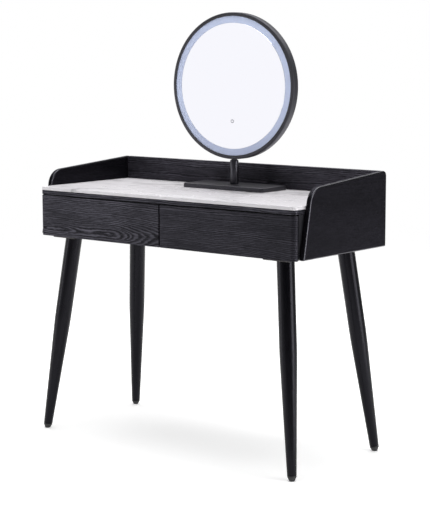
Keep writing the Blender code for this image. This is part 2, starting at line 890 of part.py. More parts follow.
def make_bracket(tilt):
    """A U bracket on the rim's floor: its ears carry the pin, its base has a slot for the tongue."""
    floor = -PIN_ABOVE_RIM + RIM_WALL + BRACKET_SHIM
    half_x = BRACKET_LENGTH / 2
    bracket = add_box(
        "hinge_bracket",
        (-half_x, -BRACKET_DEPTH / 2, floor),
        (half_x, BRACKET_DEPTH / 2, floor + BRACKET_GAUGE),
        "zinc_steel",
        tilt,
    )
    for name, side in SIDES.items():
        inner = SLOT_WIDTH / 2 + BRACKET_EAR_INSET
        edges = sorted((side * inner, side * (inner + BRACKET_GAUGE)))
        ear = add_box(
            f"bracket_ear_{name}",
            (edges[0], -BRACKET_EARS_DEPTH / 2, floor + BRACKET_GAUGE / 2),
            (edges[1], BRACKET_EARS_DEPTH / 2, BRACKET_EAR_TOP),
            parent=tilt,
        )
        combine(bracket, ear, "UNION")
    slot = add_box(
        "bracket_slot",
        (-SLOT_WIDTH / 2, -BRACKET_SLOT / 2, floor - CUT_SPARE),
        (SLOT_WIDTH / 2, BRACKET_SLOT / 2, floor + BRACKET_GAUGE + FIT),
        parent=tilt,
    )
    bore = add_rod(
        "bracket_bore",
        (-BRACKET_LENGTH, 0, 0),
        (BRACKET_LENGTH, 0, 0),
        PIN_RADIUS + BRACKET_BORE_CLEARANCE,
        parent=tilt,
    )
    combine(bracket, slot)
    combine(bracket, bore)


def disc_profile(radius, face, thickness):
    return [(0, face), (radius, face), (radius, face - thickness), (0, face - thickness)]


def make_head(tilt):
    """The rim, glass, diffuser, lamp ring, touch sensor and back cover, about the mirror's axis."""
    centre_z = RIM_RADIUS - PIN_ABOVE_RIM
    front = RIM_DEPTH / 2
    face = front - LIP_THICK - FIT
    make_rim(tilt, centre_z, front)
    glass = add_turned(
        "mirror_glass",
        disc_profile(GLASS_RADIUS, face, GLASS_THICK),
        "mirror_silver",
        tilt,
        steps=HEAD_STEPS,
    )
    ledge = face - GLASS_THICK - FIT
    diffuser = add_turned(
        "light_diffuser",
        [
            (GLASS_RADIUS + FIT, face),
            (DIFFUSER_RADIUS, face),
            (DIFFUSER_RADIUS, face - DIFFUSER_THICK),
            (GLASS_RADIUS + DIFFUSER_THICK, face - DIFFUSER_THICK),
            (GLASS_RADIUS + DIFFUSER_THICK, ledge - LEDGE_THICK),
            (GLASS_RADIUS - DIFFUSER_LEDGE, ledge - LEDGE_THICK),
            (GLASS_RADIUS - DIFFUSER_LEDGE, ledge),
            (GLASS_RADIUS + FIT, ledge),
        ],
        "frosted_acrylic",
        tilt,
        steps=HEAD_STEPS,
        ring=True,
    )
    cover_back = -front + COVER_INSET
    cover = add_turned(
        "back_cover",
        [
            (0, cover_back + COVER_THICK),
            (COVER_RADIUS, cover_back + COVER_THICK),
            (COVER_RADIUS, cover_back + COVER_CHAMFER),
            (COVER_RADIUS - COVER_CHAMFER, cover_back),
            (0, cover_back),
        ],
        "black_plastic",
        tilt,
        steps=HEAD_STEPS,
    )
    inner, outer = LED_RADII
    lamp_back = cover_back + COVER_THICK + FIT
    lamp = add_turned(
        "led_ring",
        [
            (inner, lamp_back + LED_THICK),
            (outer, lamp_back + LED_THICK),
            (outer, lamp_back),
            (inner, lamp_back),
        ],
        "circuit_board",
        tilt,
        steps=HEAD_STEPS,
        ring=True,
    )
    for piece in (glass, diffuser, cover, lamp):
        face_forward(piece, centre_z)
    sensor_face = face - GLASS_THICK - FIT
    sensor = add_turned(
        "touch_sensor",
        disc_profile(SENSOR_RADIUS, sensor_face, SENSOR_THICK),
        "circuit_board",
        tilt,
        steps=SMALL_STEPS,
    )
    face_forward(sensor, centre_z - SENSOR_DROP)


def make_rim(tilt, centre_z, front):
    inner = RIM_RADIUS - RIM_WALL
    corner = LIP_ROUND
    arc = [
        (
            RIM_RADIUS - corner + corner * math.sin(angle),
            front - corner + corner * math.cos(angle),
        )
        for angle in (math.radians(degrees) for degrees in range(0, 91, 30))
    ]
    rim = add_turned(
        "mirror_rim",
        [
            (LIP_RADIUS, front),
            *arc,
            (RIM_RADIUS, -front + RIM_CHAMFER),
            (RIM_RADIUS - RIM_CHAMFER, -front),
            (inner, -front),
            (inner, front - LIP_THICK),
            (LIP_RADIUS, front - LIP_THICK),
        ],
        "satin_black_metal",
        tilt,
        steps=HEAD_STEPS,
        ring=True,
    )
    face_forward(rim, centre_z)
    slot = add_box(
        "rim_slot",
        (-SLOT_WIDTH / 2, -SLOT_LENGTH / 2, -PIN_ABOVE_RIM - CUT_SPARE),
        (SLOT_WIDTH / 2, SLOT_LENGTH / 2, -PIN_ABOVE_RIM + 2 * RIM_WALL),
        parent=tilt,
    )
    combine(rim, slot)


def main():
    clear_scene()
    new_collection("vanity_table")
    cutters = new_collection("cutters")
    for name, values in FINISHES.items():
        make_finish(name, *values)
    case_bottom = make_case()
    make_tops()
    make_wings()
    make_legs(case_bottom)
    for name, side in SIDES.items():
        make_drawer(name, side)
    post_top = make_stand()
    pin_z = MIRROR_Z - RIM_RADIUS + PIN_ABOVE_RIM - STAND.z - post_top
    swivel = add_pivot("head_swivel", STAND + Vector((0, 0, post_top)), turn=HEAD_TURN)
    make_knuckle(swivel, pin_z)
    tilt = add_pivot("head_tilt", (0, 0, pin_z), parent=swivel)
    make_bracket(tilt)
    make_head(tilt)
    cutters.hide_render = True


main()
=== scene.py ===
"""Finished look of the vanity table with a lighted mirror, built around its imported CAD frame.

Everything is in metres in the frame's own axes: +X to the sitter's right, -Y to the sitter, +Z up.
Every mesh is built where the frame rests, so a node's box or a joint's place can be used directly.
"""

import functools
import json
import math

import bmesh
import bpy
from mathutils import Matrix, Vector


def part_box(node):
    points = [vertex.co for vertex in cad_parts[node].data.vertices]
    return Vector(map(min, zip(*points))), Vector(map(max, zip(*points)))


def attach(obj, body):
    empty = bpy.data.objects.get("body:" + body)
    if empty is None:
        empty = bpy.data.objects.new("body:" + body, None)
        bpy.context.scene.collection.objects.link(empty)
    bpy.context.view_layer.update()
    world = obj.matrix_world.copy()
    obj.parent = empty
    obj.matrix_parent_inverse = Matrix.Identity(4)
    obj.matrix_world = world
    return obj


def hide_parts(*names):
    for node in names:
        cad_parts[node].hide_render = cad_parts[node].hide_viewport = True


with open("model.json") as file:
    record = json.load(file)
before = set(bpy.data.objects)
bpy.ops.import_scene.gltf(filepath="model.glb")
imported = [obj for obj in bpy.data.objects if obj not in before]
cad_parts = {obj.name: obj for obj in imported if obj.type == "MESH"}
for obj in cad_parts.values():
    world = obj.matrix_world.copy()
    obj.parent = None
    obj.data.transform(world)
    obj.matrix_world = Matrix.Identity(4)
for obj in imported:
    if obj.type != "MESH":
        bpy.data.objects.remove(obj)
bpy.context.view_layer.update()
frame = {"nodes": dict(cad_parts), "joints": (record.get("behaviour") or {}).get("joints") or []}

JOINTS = {joint["name"]: joint for joint in frame["joints"]}
SIDES = {"left": -1, "right": 1}
ENDS = {"front": -1, "rear": 1}
RIGHT = Vector((1, 0, 0))
BACK = Vector((0, 1, 0))
UP = Vector((0, 0, 1))

# The gap between neighbouring pieces, and how far a cutter runs past the face that it opens.
FIT = 0.0003
OVERRUN = 0.01

# Camera: where it stands, how it is turned, and its lens in millimetres.
CAMERA_AT = Vector((2.894, -3.486, 1.185))
CAMERA_YAW = math.radians(39.35)
CAMERA_PITCH = math.radians(7.94)
CAMERA_ROLL = math.radians(-0.107)
CAMERA_LENS = 128.2
SENSOR_WIDTH = 36.0

# Studio: how bright the surroundings are elsewhere, behind to the left, and below at left and right,
# and the stretches of a direction's x, y or z over which the wall and the ground come up.
STUDIO_DIM = 0.06
WORLD_WALL = 0.75
WORLD_WHITE = 1.0
WORLD_RIGHT = 0.25
WALL_X = (-0.30, -0.60)
WALL_Y = (-0.25, 0.15)
GROUND_X = (0.10, -0.42)
GROUND_Z = (0.12, 0.04)

# Paper floor: where it starts to fade, and how its glow rises outwards.
FLOOR_RADIUS = 5.5
FLOOR_FADE_FROM = 1.65
FLOOR_DROP = 0.0005
GLOW_REACH = (0.4, 2.6)
GLOW = (0.40, 0.75)

# Each light's place, its target, its size and its power in watts.
LIGHTS = {
    "top_softbox": ((-0.1, 0.1, 3.4), (0.0, 0.0, 0.0), (3.4, 3.4), 148),
    "key_strip": ((-2.30, -2.20, 0.50), (0.0, 0.0, 0.50), (0.34, 1.0), 6),
    "right_panel": ((3.15, 0.85, 0.9), (0.3, 0.0, 0.6), (1.0, 1.9), 30),
    "right_strip": ((3.2, 0.10, 0.9), (0.5, -0.2, 0.65), (0.20, 1.9), 16),
    "rear_softbox": ((0.2, 3.0, 3.0), (0.0, 0.0, 0.6), (2.4, 1.6), 14),
}

# Colours. The cast tints what black surfaces reflect.
BLACK_CAST = (0.88, 0.86, 1.00)
ASH_PORE = (0.0015, 0.0014, 0.0022)
STONE_WHITE = (0.700, 0.681, 0.708)
STONE_CLOUD = (0.455, 0.444, 0.466)
STONE_VEIN = (0.265, 0.259, 0.271)
STONE_HAIR = (0.380, 0.372, 0.388)
BAND_LIGHT = (0.61, 0.69, 0.91)
BAND_DARK = (0.57, 0.64, 0.86)
# The band's painted shade, for the gaps between the lamps and next to the lip.
BAND_SHADE = (0.44, 0.50, 0.70)

# Year rings in the veneer. The pith lies under the sheet, strays, and rises and falls in even swells
# that close the rings into eyes. Along the grain it dives away, which opens them into arches.
RING_WIDTH = 0.0043
PITH_DEPTH = 0.0100
PITH_STRAY = 0.010
HEART_DRIFT = 0.022
EYE_SWELL = 0.0036
EYE_SPACING = 0.260
ARCH_FROM = 0.13
ARCH_TO = 0.62
ARCH_DIVE = 0.050

# How far the rings' places stray, in rings: from year to year, along each ring, and in its fibres.
SEASON_STRAY = 2.2
RING_WAVER = 1.5
RING_FRAY = 0.55

# Where each sheet is measured from: a place along its grain, and the height of its heart line.
TOP_SHEET_FROM = (0.31, 0, 0.44)
BACK_SHEET_FROM = (-1.13, 0, 0.53)
FRONT_SHEETS_FROM = {"left": (-0.412, 0, 0.6305), "right": (0.08, 0, 0.577)}
WING_SHEET_FROM = Vector((0, 1.7, 0.3))
LEG_GRAIN_SHIFT = Vector((3, 2))

# Outlines and edges: how finely arcs are cut, and how far an edge turns before it is eased.
ARC_STEPS = 16
SHARP_TURN = math.radians(35)

# Case: corners, eased edges, the black strip that is painted shade under the top board, and the caps over
# the screws in the back.
CORNER_RADIUS = 0.014
MEETING_RADIUS = 0.0015
SLAB_EDGE = 0.0011
BOARD_EDGE = 0.0009
BACK_EDGE = 0.0012
STRIP_INSET = 0.0050
STRIP_EDGE = 0.0002
STRIP_GAP = 0.0001
CAP_PROFILE = [
    (0, 0.0013),
    (0.0030, 0.0012),
    (0.0052, 0.0008),
    (0.0060, 0.0003),
    (0.0060, 0.0),
    (0, 0.0),
]
CAP_INSET = 0.007
CAP_SPACING = 0.24
CAP_LOW = 0.006
CAP_HIGH = 0.075

# Wings: a leaning front edge, a slowly rising top and a polished arris round each face.
WING_LEAN = math.radians(11.1)
WING_TOP_RISE = math.radians(4.2)
WING_FRONT_RADIUS = 0.050
WING_REAR_RADIUS = 0.015
WING_ARC_STEPS = 24
WING_ARRIS = 0.0034
ARRIS_TURN = 0.04

# Legs. A leg's axis runs from its foot on the floor to its top, given for the right rear leg. Above
# the knee its blank is straight, with rings at two heights, and runs on past the cut.
LEG_TOP = Vector((0.405, 0.145))
LEG_FOOT = Vector((0.475, 0.205))
LEG_RADIUS = 0.0249
LEG_TIP_RADIUS = 0.0133
LEG_TIP = 0.014
LEG_TIP_CHAMFER = 0.0014
LEG_TAPER_FROM = 0.345
LEG_KNEE = 0.030
LEG_BLANK = (0.5, 0.7)
LEG_STEPS = 64
GLIDE_RADIUS = LEG_TIP_RADIUS - 0.0004
GLIDE_FLOOR_RADIUS = 0.008
GLIDE_EDGE = 0.0006
GLIDE_TRIMMED = 0.006

# Screws: a head with a cross recess. A depth is how far its shoulder is sunk in the face it holds.
SCREW_PROFILE = [
    (0, 0.0010),
    (0.0016, 0.00095),
    (0.0029, 0.0006),
    (0.0036, 0.0001),
    (0.0037, -0.0002),
    (0, -0.0010),
]
CROSS_OUTLINE = [(-0.0019, 0.0014), (-0.0012, -0.0001), (0.0012, -0.0001), (0.0019, 0.0014)]
CROSS_WIDTH = 0.0007
BLOCK_SCREW_INSET = 0.012
BLOCK_SCREW_DEPTH = 0.0007
RUNNER_SCREW_DEPTH = 0.0002
RUNNER_SCREWS_ALONG = (0.035, 0.16, 0.29)
COVER_SCREWS = 6
COVER_SCREW_RING = 0.190
COVER_SCREW_DEPTH = 0.0003

# Drawers: cam covers inside them, and the ball cages of their runners.
CAM_PROFILE = [
    (0, 0.0004),
    (0.0022, 0.0004),
    (0.0026, 0.0008),
    (0.0068, 0.0007),
    (0.0076, 0.0003),
    (0.0076, -0.002),
    (0, -0.002),
]
CAM_FROM_FRONT = 0.030
CAM_RISE = 0.030
CAM_DROP = 0.015
RUNNER_GAUGE = 0.0012
RUNNER_BALL_GAP = 0.0016
CAGE_LENGTH = 0.125
CAGE_WIDTH = 0.0040
CAGE_RADIUS = 0.001
CAGE_THICK = 0.0004
CAGE_FROM_END = 0.02
BALL_RADIUS = 0.00075
BALL_SPACING = 0.0075
BALL_FROM_END = 0.006
BALLS = 16

# Mirror's stand: its base, hollow underneath, and its bored post.
BASE_RADIUS = 0.014
BASE_TOP_EDGE = 0.0040
BASE_FOOT_EDGE = 0.0010
BASE_SKIN = 0.004
BASE_HOLE_RADIUS = 0.0083
POCKET_SIZE = 0.044
POCKET_RADIUS = 0.003
DUCT_WIDTH = 0.0094
DUCT_LAP = 0.002
SOCKET_LAP = 0.004
DRILL_LENGTH = 0.04
POST_EDGE = [(0.0008, 0.0), (0.0002, 0.0003), (0.0, 0.0010)]
SPIGOT_RADIUS = 0.008
WIRE_BORE_RADIUS = 0.0055
KNUCKLE_BORE_RADIUS = 0.0091
KNUCKLE_DEPTH = 0.027

# Mirror's head: a spun rim that holds the glass, the light band, the lamps and the back cover.
HEAD_STEPS = 192
RIM_DEPTH = 0.025
RIM_WALL = 0.003
RIM_ROUND = 0.0026
RIM_ROUND_STEPS = 6
RIM_FOOT_EDGE = [(0.0, 0.0010), (0.0003, 0.0003), (0.0010, 0.0)]
LIP_WIDTH = 0.0108
LIP_THICK = 0.0017
LIP_CHAMFER = 0.0004
SLOT_LENGTH = 0.0150
SLOT_WIDTH = 0.0176
SLOT_RADIUS = 0.002
GLASS_THICK = 0.004
GLASS_EDGE = 0.0003
GLASS_BACK_EDGE = 0.0004
DIFFUSER_THICK = 0.003
DIFFUSER_LEDGE = 0.010
LEDGE_THICK = 0.002
LAMPS = 96
LAMP_SIZE = (0.0028, 0.0036)
LAMP_CORNER = 0.0003
LAMP_THICK = 0.0007
LAMP_INSET = 0.0078
RING_THICK = 0.0016
WINDOW_PROFILE = [(0, 0.00074), (0.0010, 0.00074), (0.0011, 0.0006), (0, 0.0006)]
BAND_REACH = 0.1965

# Touch mark on the glass: a ring that is open at the top, with a bar in the opening.
ICON_DROP = 0.104
ICON_RADIUS = 0.0058
ICON_HOLLOW = 0.66
ICON_GAP = math.radians(32)
ICON_STEPS = 40
ICON_THICK = 0.00010
ICON_BAR = ((-0.0009, 0.0006), (0.0009, 0.0064))
ICON_BAR_RADIUS = 0.0004

# Back cover: a groove near its edge, a sunk centre panel and a block of vents.
COVER_THICK = 0.0018
COVER_INSET = 0.0002
COVER_STEP = 0.0007
COVER_EDGE = 0.0005
COVER_PANEL_RADIUS = 0.0780
GROOVE_FROM = 0.0100
GROOVE_TO = 0.0136
GROOVE_SLOPE = 0.0008
VENTS = 7
VENTS_FROM = -0.128
VENT_SPACING = 0.0048
VENT_LENGTH = 0.040
VENT_TAPER = 0.0032
VENT_WIDTH = 0.0018
VENT_RADIUS = 0.00085

# The CAD nodes that show as they are, by the starts of their names, and the material of each.
PLAIN_NODES = {
    "board": ("case_", "centre_divider"),
    "ply": ("leg_block",),
    "zinc": ("leg_bolt", "runner_", "post_nut", "tilt_pin", "hinge_"),
    "linen": ("drawer_side", "drawer_back", "drawer_bottom"),
    "coat": ("swivel_knuckle",),
    "cover": ("power_inlet",),
    "board_white": ("led_ring", "touch_sensor"),
}


# Node building


class Nodes:
    """A node tree, with short calls that add nodes to it and return what they put out."""

    def __init__(self, tree):
        self.tree = tree

    def set(self, socket, value):
        """Feeds a socket from another socket, or with a number, a vector or an opaque colour."""
        if isinstance(value, bpy.types.NodeSocket):
            self.tree.links.new(value, socket)
        elif socket.type == "RGBA":
            socket.default_value = (*value, 1.0)
        else:
            socket.default_value = value

    def node(self, kind, inputs=(), **settings):
        made = self.tree.nodes.new(kind)
        for key, value in settings.items():
            setattr(made, key, value)
        for key, value in dict(inputs).items():
            self.set(made.inputs[key], value)
        return made

    def split(self, vector):
        return self.node("ShaderNodeSeparateXYZ", {0: vector}).outputs

    def maths(self, operation, first, second=0.0):
        return self.node("ShaderNodeMath", {0: first, 1: second}, operation=operation).outputs[0]

    def total(self, *values):
        return functools.reduce(functools.partial(self.maths, "ADD"), values)

    def product(self, *values):
        return functools.reduce(functools.partial(self.maths, "MULTIPLY"), values)

    def spread(self, value, low, high, to_low=0.0, to_high=1.0):
        """The value's range low to high eased over to another range, and held at its ends."""
        names = ("From Min", "From Max", "To Min", "To Max")
        inputs = {"Value": value, **dict(zip(names, (low, high, to_low, to_high)))}
        return self.node("ShaderNodeMapRange", inputs, interpolation_type="SMOOTHSTEP").outputs["Result"]


class Finish(Nodes):
    """A Principled material, with its sockets given by name."""

    def __init__(self, name, **sockets):
        self.material = bpy.data.materials.new(name)
        self.material.use_nodes = True
        super().__init__(self.material.node_tree)
        self.shader = self.tree.nodes["Principled BSDF"]
        for socket, value in sockets.items():
            self.set(self.shader.inputs[socket.replace("_", " ")], value)

    def grain(self):
        """Each point's place in its own sheet of veneer or length of timber, in metres."""
        return self.node("ShaderNodeAttribute", attribute_name="grain").outputs["Vector"]

    def place(self):
        return self.node("ShaderNodeTexCoord").outputs["Object"]

    def scaled(self, vector, factors):
        inputs = {0: vector, 1: factors}
        return self.node("ShaderNodeVectorMath", inputs, operation="MULTIPLY").outputs[0]

    def added(self, vector, other):
        return self.node("ShaderNodeVectorMath", {0: vector, 1: other}, operation="ADD").outputs[0]

    def noise(self, vector, scale=1.0, detail=2.0, roughness=0.5, output="Fac"):
        inputs = {"Vector": vector, "Scale": scale, "Detail": detail, "Roughness": roughness}
        return self.node("ShaderNodeTexNoise", inputs).outputs[output]

    def texture(self, vector, per_metre, **noise):
        """Noise with its own count of features to the metre along each axis, or one for all three."""
        if isinstance(per_metre, float):
            per_metre = (per_metre, per_metre, per_metre)
        return self.noise(self.scaled(vector, per_metre), **noise)

    def centred(self, value, size):
        """A noise value moved to run either side of nought, over about the given size."""
        return self.product(self.maths("SUBTRACT", value, 0.5), size)

    def threads(self, vector, scale, detail, width):
        """Thin lines where a noise crosses its middle value."""
        off_middle = self.maths("SUBTRACT", self.noise(vector, scale, detail), 0.5)
        return self.spread(self.maths("ABSOLUTE", off_middle), width, 0.0)

    def mixed(self, factor, first, second):
        mix = self.node("ShaderNodeMix", data_type="RGBA")
        for socket, value in zip((mix.inputs[0], mix.inputs[6], mix.inputs[7]), (factor, first, second)):
            self.set(socket, value)
        return mix.outputs[2]

    def colour(self, value):
        self.set(self.shader.inputs["Base Color"], value)

    def rough(self, value):
        self.set(self.shader.inputs["Roughness"], value)

    def bump(self, height, depth):
        """Adds relief: height runs from 0 to 1 and depth is its real size in metres."""
        inputs = {"Height": height, "Distance": depth}
        normal = self.shader.inputs["Normal"]
        if normal.is_linked:
            inputs["Normal"] = normal.links[0].from_socket
        self.set(normal, self.node("ShaderNodeBump", inputs).outputs["Normal"])


# Materials


def late_wood(f, grain):
    """How far into the dense, late part of its year each point lies, from 0 to 1.

    In its own sheet a point has a place along the grain, and one across it from the heart line. The
    rings are cones round a pith that rises and falls below the sheet, so near the heart line they
    close into eyes, further along they open into arches, and far from it they run straight.
    """
    along, across, _ = f.split(grain)
    heart = f.total(across, f.centred(f.texture(grain, (3.4, 0.0, 5.0), detail=1.0), HEART_DRIFT))
    stray = f.noise(f.added(f.scaled(grain, (9.0, 0.0, 5.0)), (31.7, 0.0, 0.0)))
    swell = f.maths("COSINE", f.product(along, 2 * math.pi / EYE_SPACING))
    depth = f.total(
        f.spread(along, ARCH_FROM, ARCH_TO, PITH_DEPTH, PITH_DEPTH + ARCH_DIVE),
        f.centred(stray, PITH_STRAY),
        f.product(swell, f.spread(along, ARCH_FROM, ARCH_TO, -EYE_SWELL, 0.0)),
    )
    reach = f.maths("SQRT", f.total(f.product(heart, heart), f.product(depth, depth)))
    season = {"W": reach, "Scale": 55.0, "Detail": 1.0}
    season = f.node("ShaderNodeTexNoise", season, noise_dimensions="1D").outputs["Fac"]
    ring = f.total(
        f.maths("DIVIDE", reach, RING_WIDTH),
        f.centred(season, SEASON_STRAY),
        f.centred(f.texture(grain, (11.0, 60.0, 20.0), detail=3.0), RING_WAVER),
        f.centred(f.texture(grain, (60.0, 420.0, 20.0)), RING_FRAY),
    )
    year = f.maths("FRACT", ring)
    return f.product(f.spread(year, 0.18, 0.62), f.spread(year, 1.0, 0.80))


def black_ash(name, ground, line, sheen=0.15):
    """Open-grain ash veneer, stained black, with its late wood and lit flakes in the line's colour."""
    f = Finish(name, Metallic=0.45, Specular_IOR_Level=sheen, Specular_Tint=BLACK_CAST)
    grain = f.grain()
    late = late_wood(f, grain)
    strands = f.texture(grain, (13.0, 400.0, 400.0), detail=3.0, roughness=0.6)
    flakes = f.texture(grain, (36.0, 850.0, 850.0))
    pores = f.texture(grain, (75.0, 2600.0, 2600.0), detail=1.0)
    patch = f.texture(grain, (4.0, 14.0, 9.0))
    pore = f.product(f.spread(pores, 0.52, 0.62), f.spread(late, 0.8, 0.1, 0.15, 1.0))
    figure = f.product(
        late,
        f.spread(strands, 0.28, 0.62, 0.35, 1.0),
        f.spread(patch, 0.30, 0.62, 0.50, 1.0),
    )
    lit = f.spread(flakes, 0.48, 0.72, 0.0, 0.40)
    stained = f.mixed(f.maths("MAXIMUM", figure, lit), ground, line)
    f.colour(f.mixed(f.product(pore, 0.75), stained, ASH_PORE))
    f.rough(f.spread(figure, 0.0, 1.0, 0.44, 0.34))
    f.bump(f.maths("SUBTRACT", 1.0, pore), depth=0.00010)
    f.bump(f.total(f.product(figure, 0.6), strands), depth=0.00008)
    return f.material


def veined_stone():
    """White sintered stone with soft grey clouds, a few thin veins and finer hairs, honed."""
    f = Finish("veined_white_stone", Specular_IOR_Level=0.34)
    place = f.place()
    bend = f.texture(place, (5.0, 6.0, 5.0), detail=3.0, output="Color")
    bend = f.scaled(f.added(bend, (-0.5, -0.5, -0.5)), (0.9, 0.9, 0.9))
    run = f.added(f.added(f.scaled(place, (2.8, 5.6, 4.0)), bend), (0.35, 2.1, 0.0))
    clouds = f.noise(run, scale=0.8, detail=4.0, roughness=0.55)
    vein = f.product(f.threads(run, 0.62, 5.0, 0.026), f.spread(clouds, 0.42, 0.60, 0.0, 0.75))
    hair = f.product(f.threads(run, 1.9, 4.0, 0.012), f.spread(clouds, 0.46, 0.60, 0.0, 0.5))
    speck = f.texture(place, 900.0, detail=1.0)
    colour = f.mixed(f.spread(clouds, 0.50, 0.74, 0.0, 0.75), STONE_WHITE, STONE_CLOUD)
    colour = f.mixed(vein, colour, STONE_VEIN)
    colour = f.mixed(hair, colour, STONE_HAIR)
    f.colour(f.mixed(f.spread(speck, 0.60, 0.80, 0.0, 0.06), colour, STONE_CLOUD))
    f.rough(f.spread(clouds, 0.3, 0.7, 0.26, 0.30))
    return f.material


def leg_lacquer():
    """Turned beech under satin black lacquer: the timber's strands show only as faint relief."""
    f = Finish("leg_lacquer", Specular_IOR_Level=0.18, Specular_Tint=BLACK_CAST)
    grain = f.grain()
    strands = f.texture(grain, (9.0, 420.0, 420.0), detail=3.0, roughness=0.6)
    flecks = f.texture(grain, (120.0, 1500.0, 1500.0), detail=1.0)
    wear = f.texture(grain, (7.0, 60.0, 60.0))
    f.colour(f.mixed(f.spread(strands, 0.35, 0.70), (0.0014, 0.0014, 0.0020), (0.0030, 0.0029, 0.0042)))
    f.rough(f.spread(wear, 0.3, 0.7, 0.22, 0.30))
    f.bump(strands, depth=0.00006)
    f.bump(f.spread(flecks, 0.60, 0.72), depth=0.00002)
    return f.material


def black_board():
    """Black melamine for the hidden boards of the case, with a pressed wood-pore texture."""
    f = Finish("black_melamine", Specular_IOR_Level=0.25, Specular_Tint=BLACK_CAST)
    pressed = f.texture(f.place(), (40.0, 700.0, 700.0))
    f.colour(f.mixed(f.spread(pressed, 0.35, 0.70), (0.005, 0.005, 0.006), (0.011, 0.011, 0.013)))
    f.rough(f.spread(pressed, 0.35, 0.7, 0.48, 0.62))
    f.bump(pressed, depth=0.00006)
    return f.material


def stained_ply():
    """Birch plywood blocks stained black, with the plies showing round their edges."""
    f = Finish("stained_plywood", Roughness=0.6)
    place = f.place()
    plies = f.maths("PINGPONG", f.product(f.split(place)["Z"], 715.0), 1.0)
    fibre = f.texture(place, (60.0, 60.0, 900.0), detail=3.0)
    ply = f.mixed(f.spread(plies, 0.35, 0.65), (0.020, 0.018, 0.018), (0.048, 0.043, 0.040))
    f.colour(f.mixed(f.spread(fibre, 0.4, 0.7, 0.0, 0.5), ply, (0.012, 0.011, 0.011)))
    f.bump(fibre, depth=0.00012)
    return f.material


def linen_board():
    """Warm grey drawer board with a printed linen weave."""
    f = Finish("linen_melamine", Roughness=0.55)
    parts = f.split(f.place())
    threads = []
    for along, across in ((0, 1), (1, 2), (2, 0)):
        stretched = {0: f.product(parts[along], 60.0), 1: f.product(parts[across], 1600.0)}
        threads.append(f.noise(f.node("ShaderNodeCombineXYZ", stretched).outputs[0], detail=1.0))
    slub = f.spread(f.maths("DIVIDE", f.total(*threads), len(threads)), 0.40, 0.60)
    f.colour(f.mixed(slub, (0.235, 0.226, 0.212), (0.375, 0.365, 0.350)))
    f.bump(slub, depth=0.00008)
    return f.material


def powder_coat(name, colour, roughness, metallic=0.0, shine=0.5, peel=0.000006, spun=False):
    """Satin black powder coat: a fine orange-peel skin of the given depth, over bare or spun metal."""
    f = Finish(name, Metallic=metallic, Specular_IOR_Level=shine, Specular_Tint=BLACK_CAST)
    f.colour(colour)
    place = f.place()
    f.rough(f.spread(f.texture(place, 22.0), 0.3, 0.7, roughness - 0.04, roughness + 0.05))
    if spun:
        rings = f.texture(f.grain(), (1.6, 1.6, 2400.0))
        f.colour(f.mixed(f.spread(rings, 0.35, 0.68), colour, tuple(2.2 * channel for channel in colour)))
        f.bump(rings, depth=0.000008)
    if peel:
        f.bump(f.texture(place, 900.0), depth=peel)
    return f.material


def zinc():
    """Bright zinc plate over rolled steel, with faint rolling lines and uneven passivation."""
    f = Finish("zinc_plate", Metallic=1.0)
    place = f.place()
    rolled = f.texture(place, (900.0, 14.0, 900.0))
    bloom = f.texture(place, 45.0, detail=3.0)
    f.colour(f.mixed(f.spread(bloom, 0.35, 0.70), (0.50, 0.51, 0.52), (0.64, 0.65, 0.64)))
    f.rough(f.spread(rolled, 0.3, 0.7, 0.26, 0.42))
    f.bump(rolled, depth=0.00002)
    return f.material


def moulded(name, colour, roughness, pitch):
    """Moulded plastic with a spark-eroded texture of the given pitch in metres."""
    f = Finish(name)
    place = f.place()
    texture = f.texture(place, 1 / pitch)
    low = tuple(channel * 0.86 for channel in colour)
    high = tuple(channel * 1.12 for channel in colour)
    f.colour(f.mixed(f.texture(place, 18.0), low, high))
    f.rough(f.spread(texture, 0.3, 0.7, roughness - 0.05, roughness + 0.07))
    f.bump(texture, depth=pitch / 8)
    return f.material


def silvered_glass():
    f = Finish("silvered_glass", Base_Color=(0.93, 0.93, 0.985), Metallic=1.0)
    f.rough(f.spread(f.texture(f.place(), 6.0), 0.3, 0.7, 0.012, 0.03))
    return f.material


def frosted_band():
    """Sandblasted light band, unlit: pale blue-grey, with painted shade in the gaps between the lamps
    behind it, deepest next to the lip.
    """
    f = Finish("frosted_light_band")
    place = f.place()
    blast = f.texture(place, 700.0)
    tone = f.texture(place, 7.0, detail=1.0)
    level, upright, reach = f.split(f.grain())
    # Painted shade: the gaps between the lamps darken the band, faintly across it and more next to the lip.
    turn = f.product(f.maths("ARCTAN2", upright, level), LAMPS / (2 * math.pi))
    lamp_gap_shade = f.spread(f.maths("PINGPONG", turn, 0.5), 0.16, 0.30)
    outwards = f.spread(reach, BAND_REACH - 0.006, BAND_REACH + 0.001, 0.05, 0.22)
    colour = f.mixed(f.spread(tone, 0.3, 0.7), BAND_DARK, BAND_LIGHT)
    f.colour(f.mixed(f.product(lamp_gap_shade, outwards), colour, BAND_SHADE))
    f.rough(f.spread(blast, 0.3, 0.7, 0.38, 0.48))
    f.bump(blast, depth=0.00001)
    return f.material


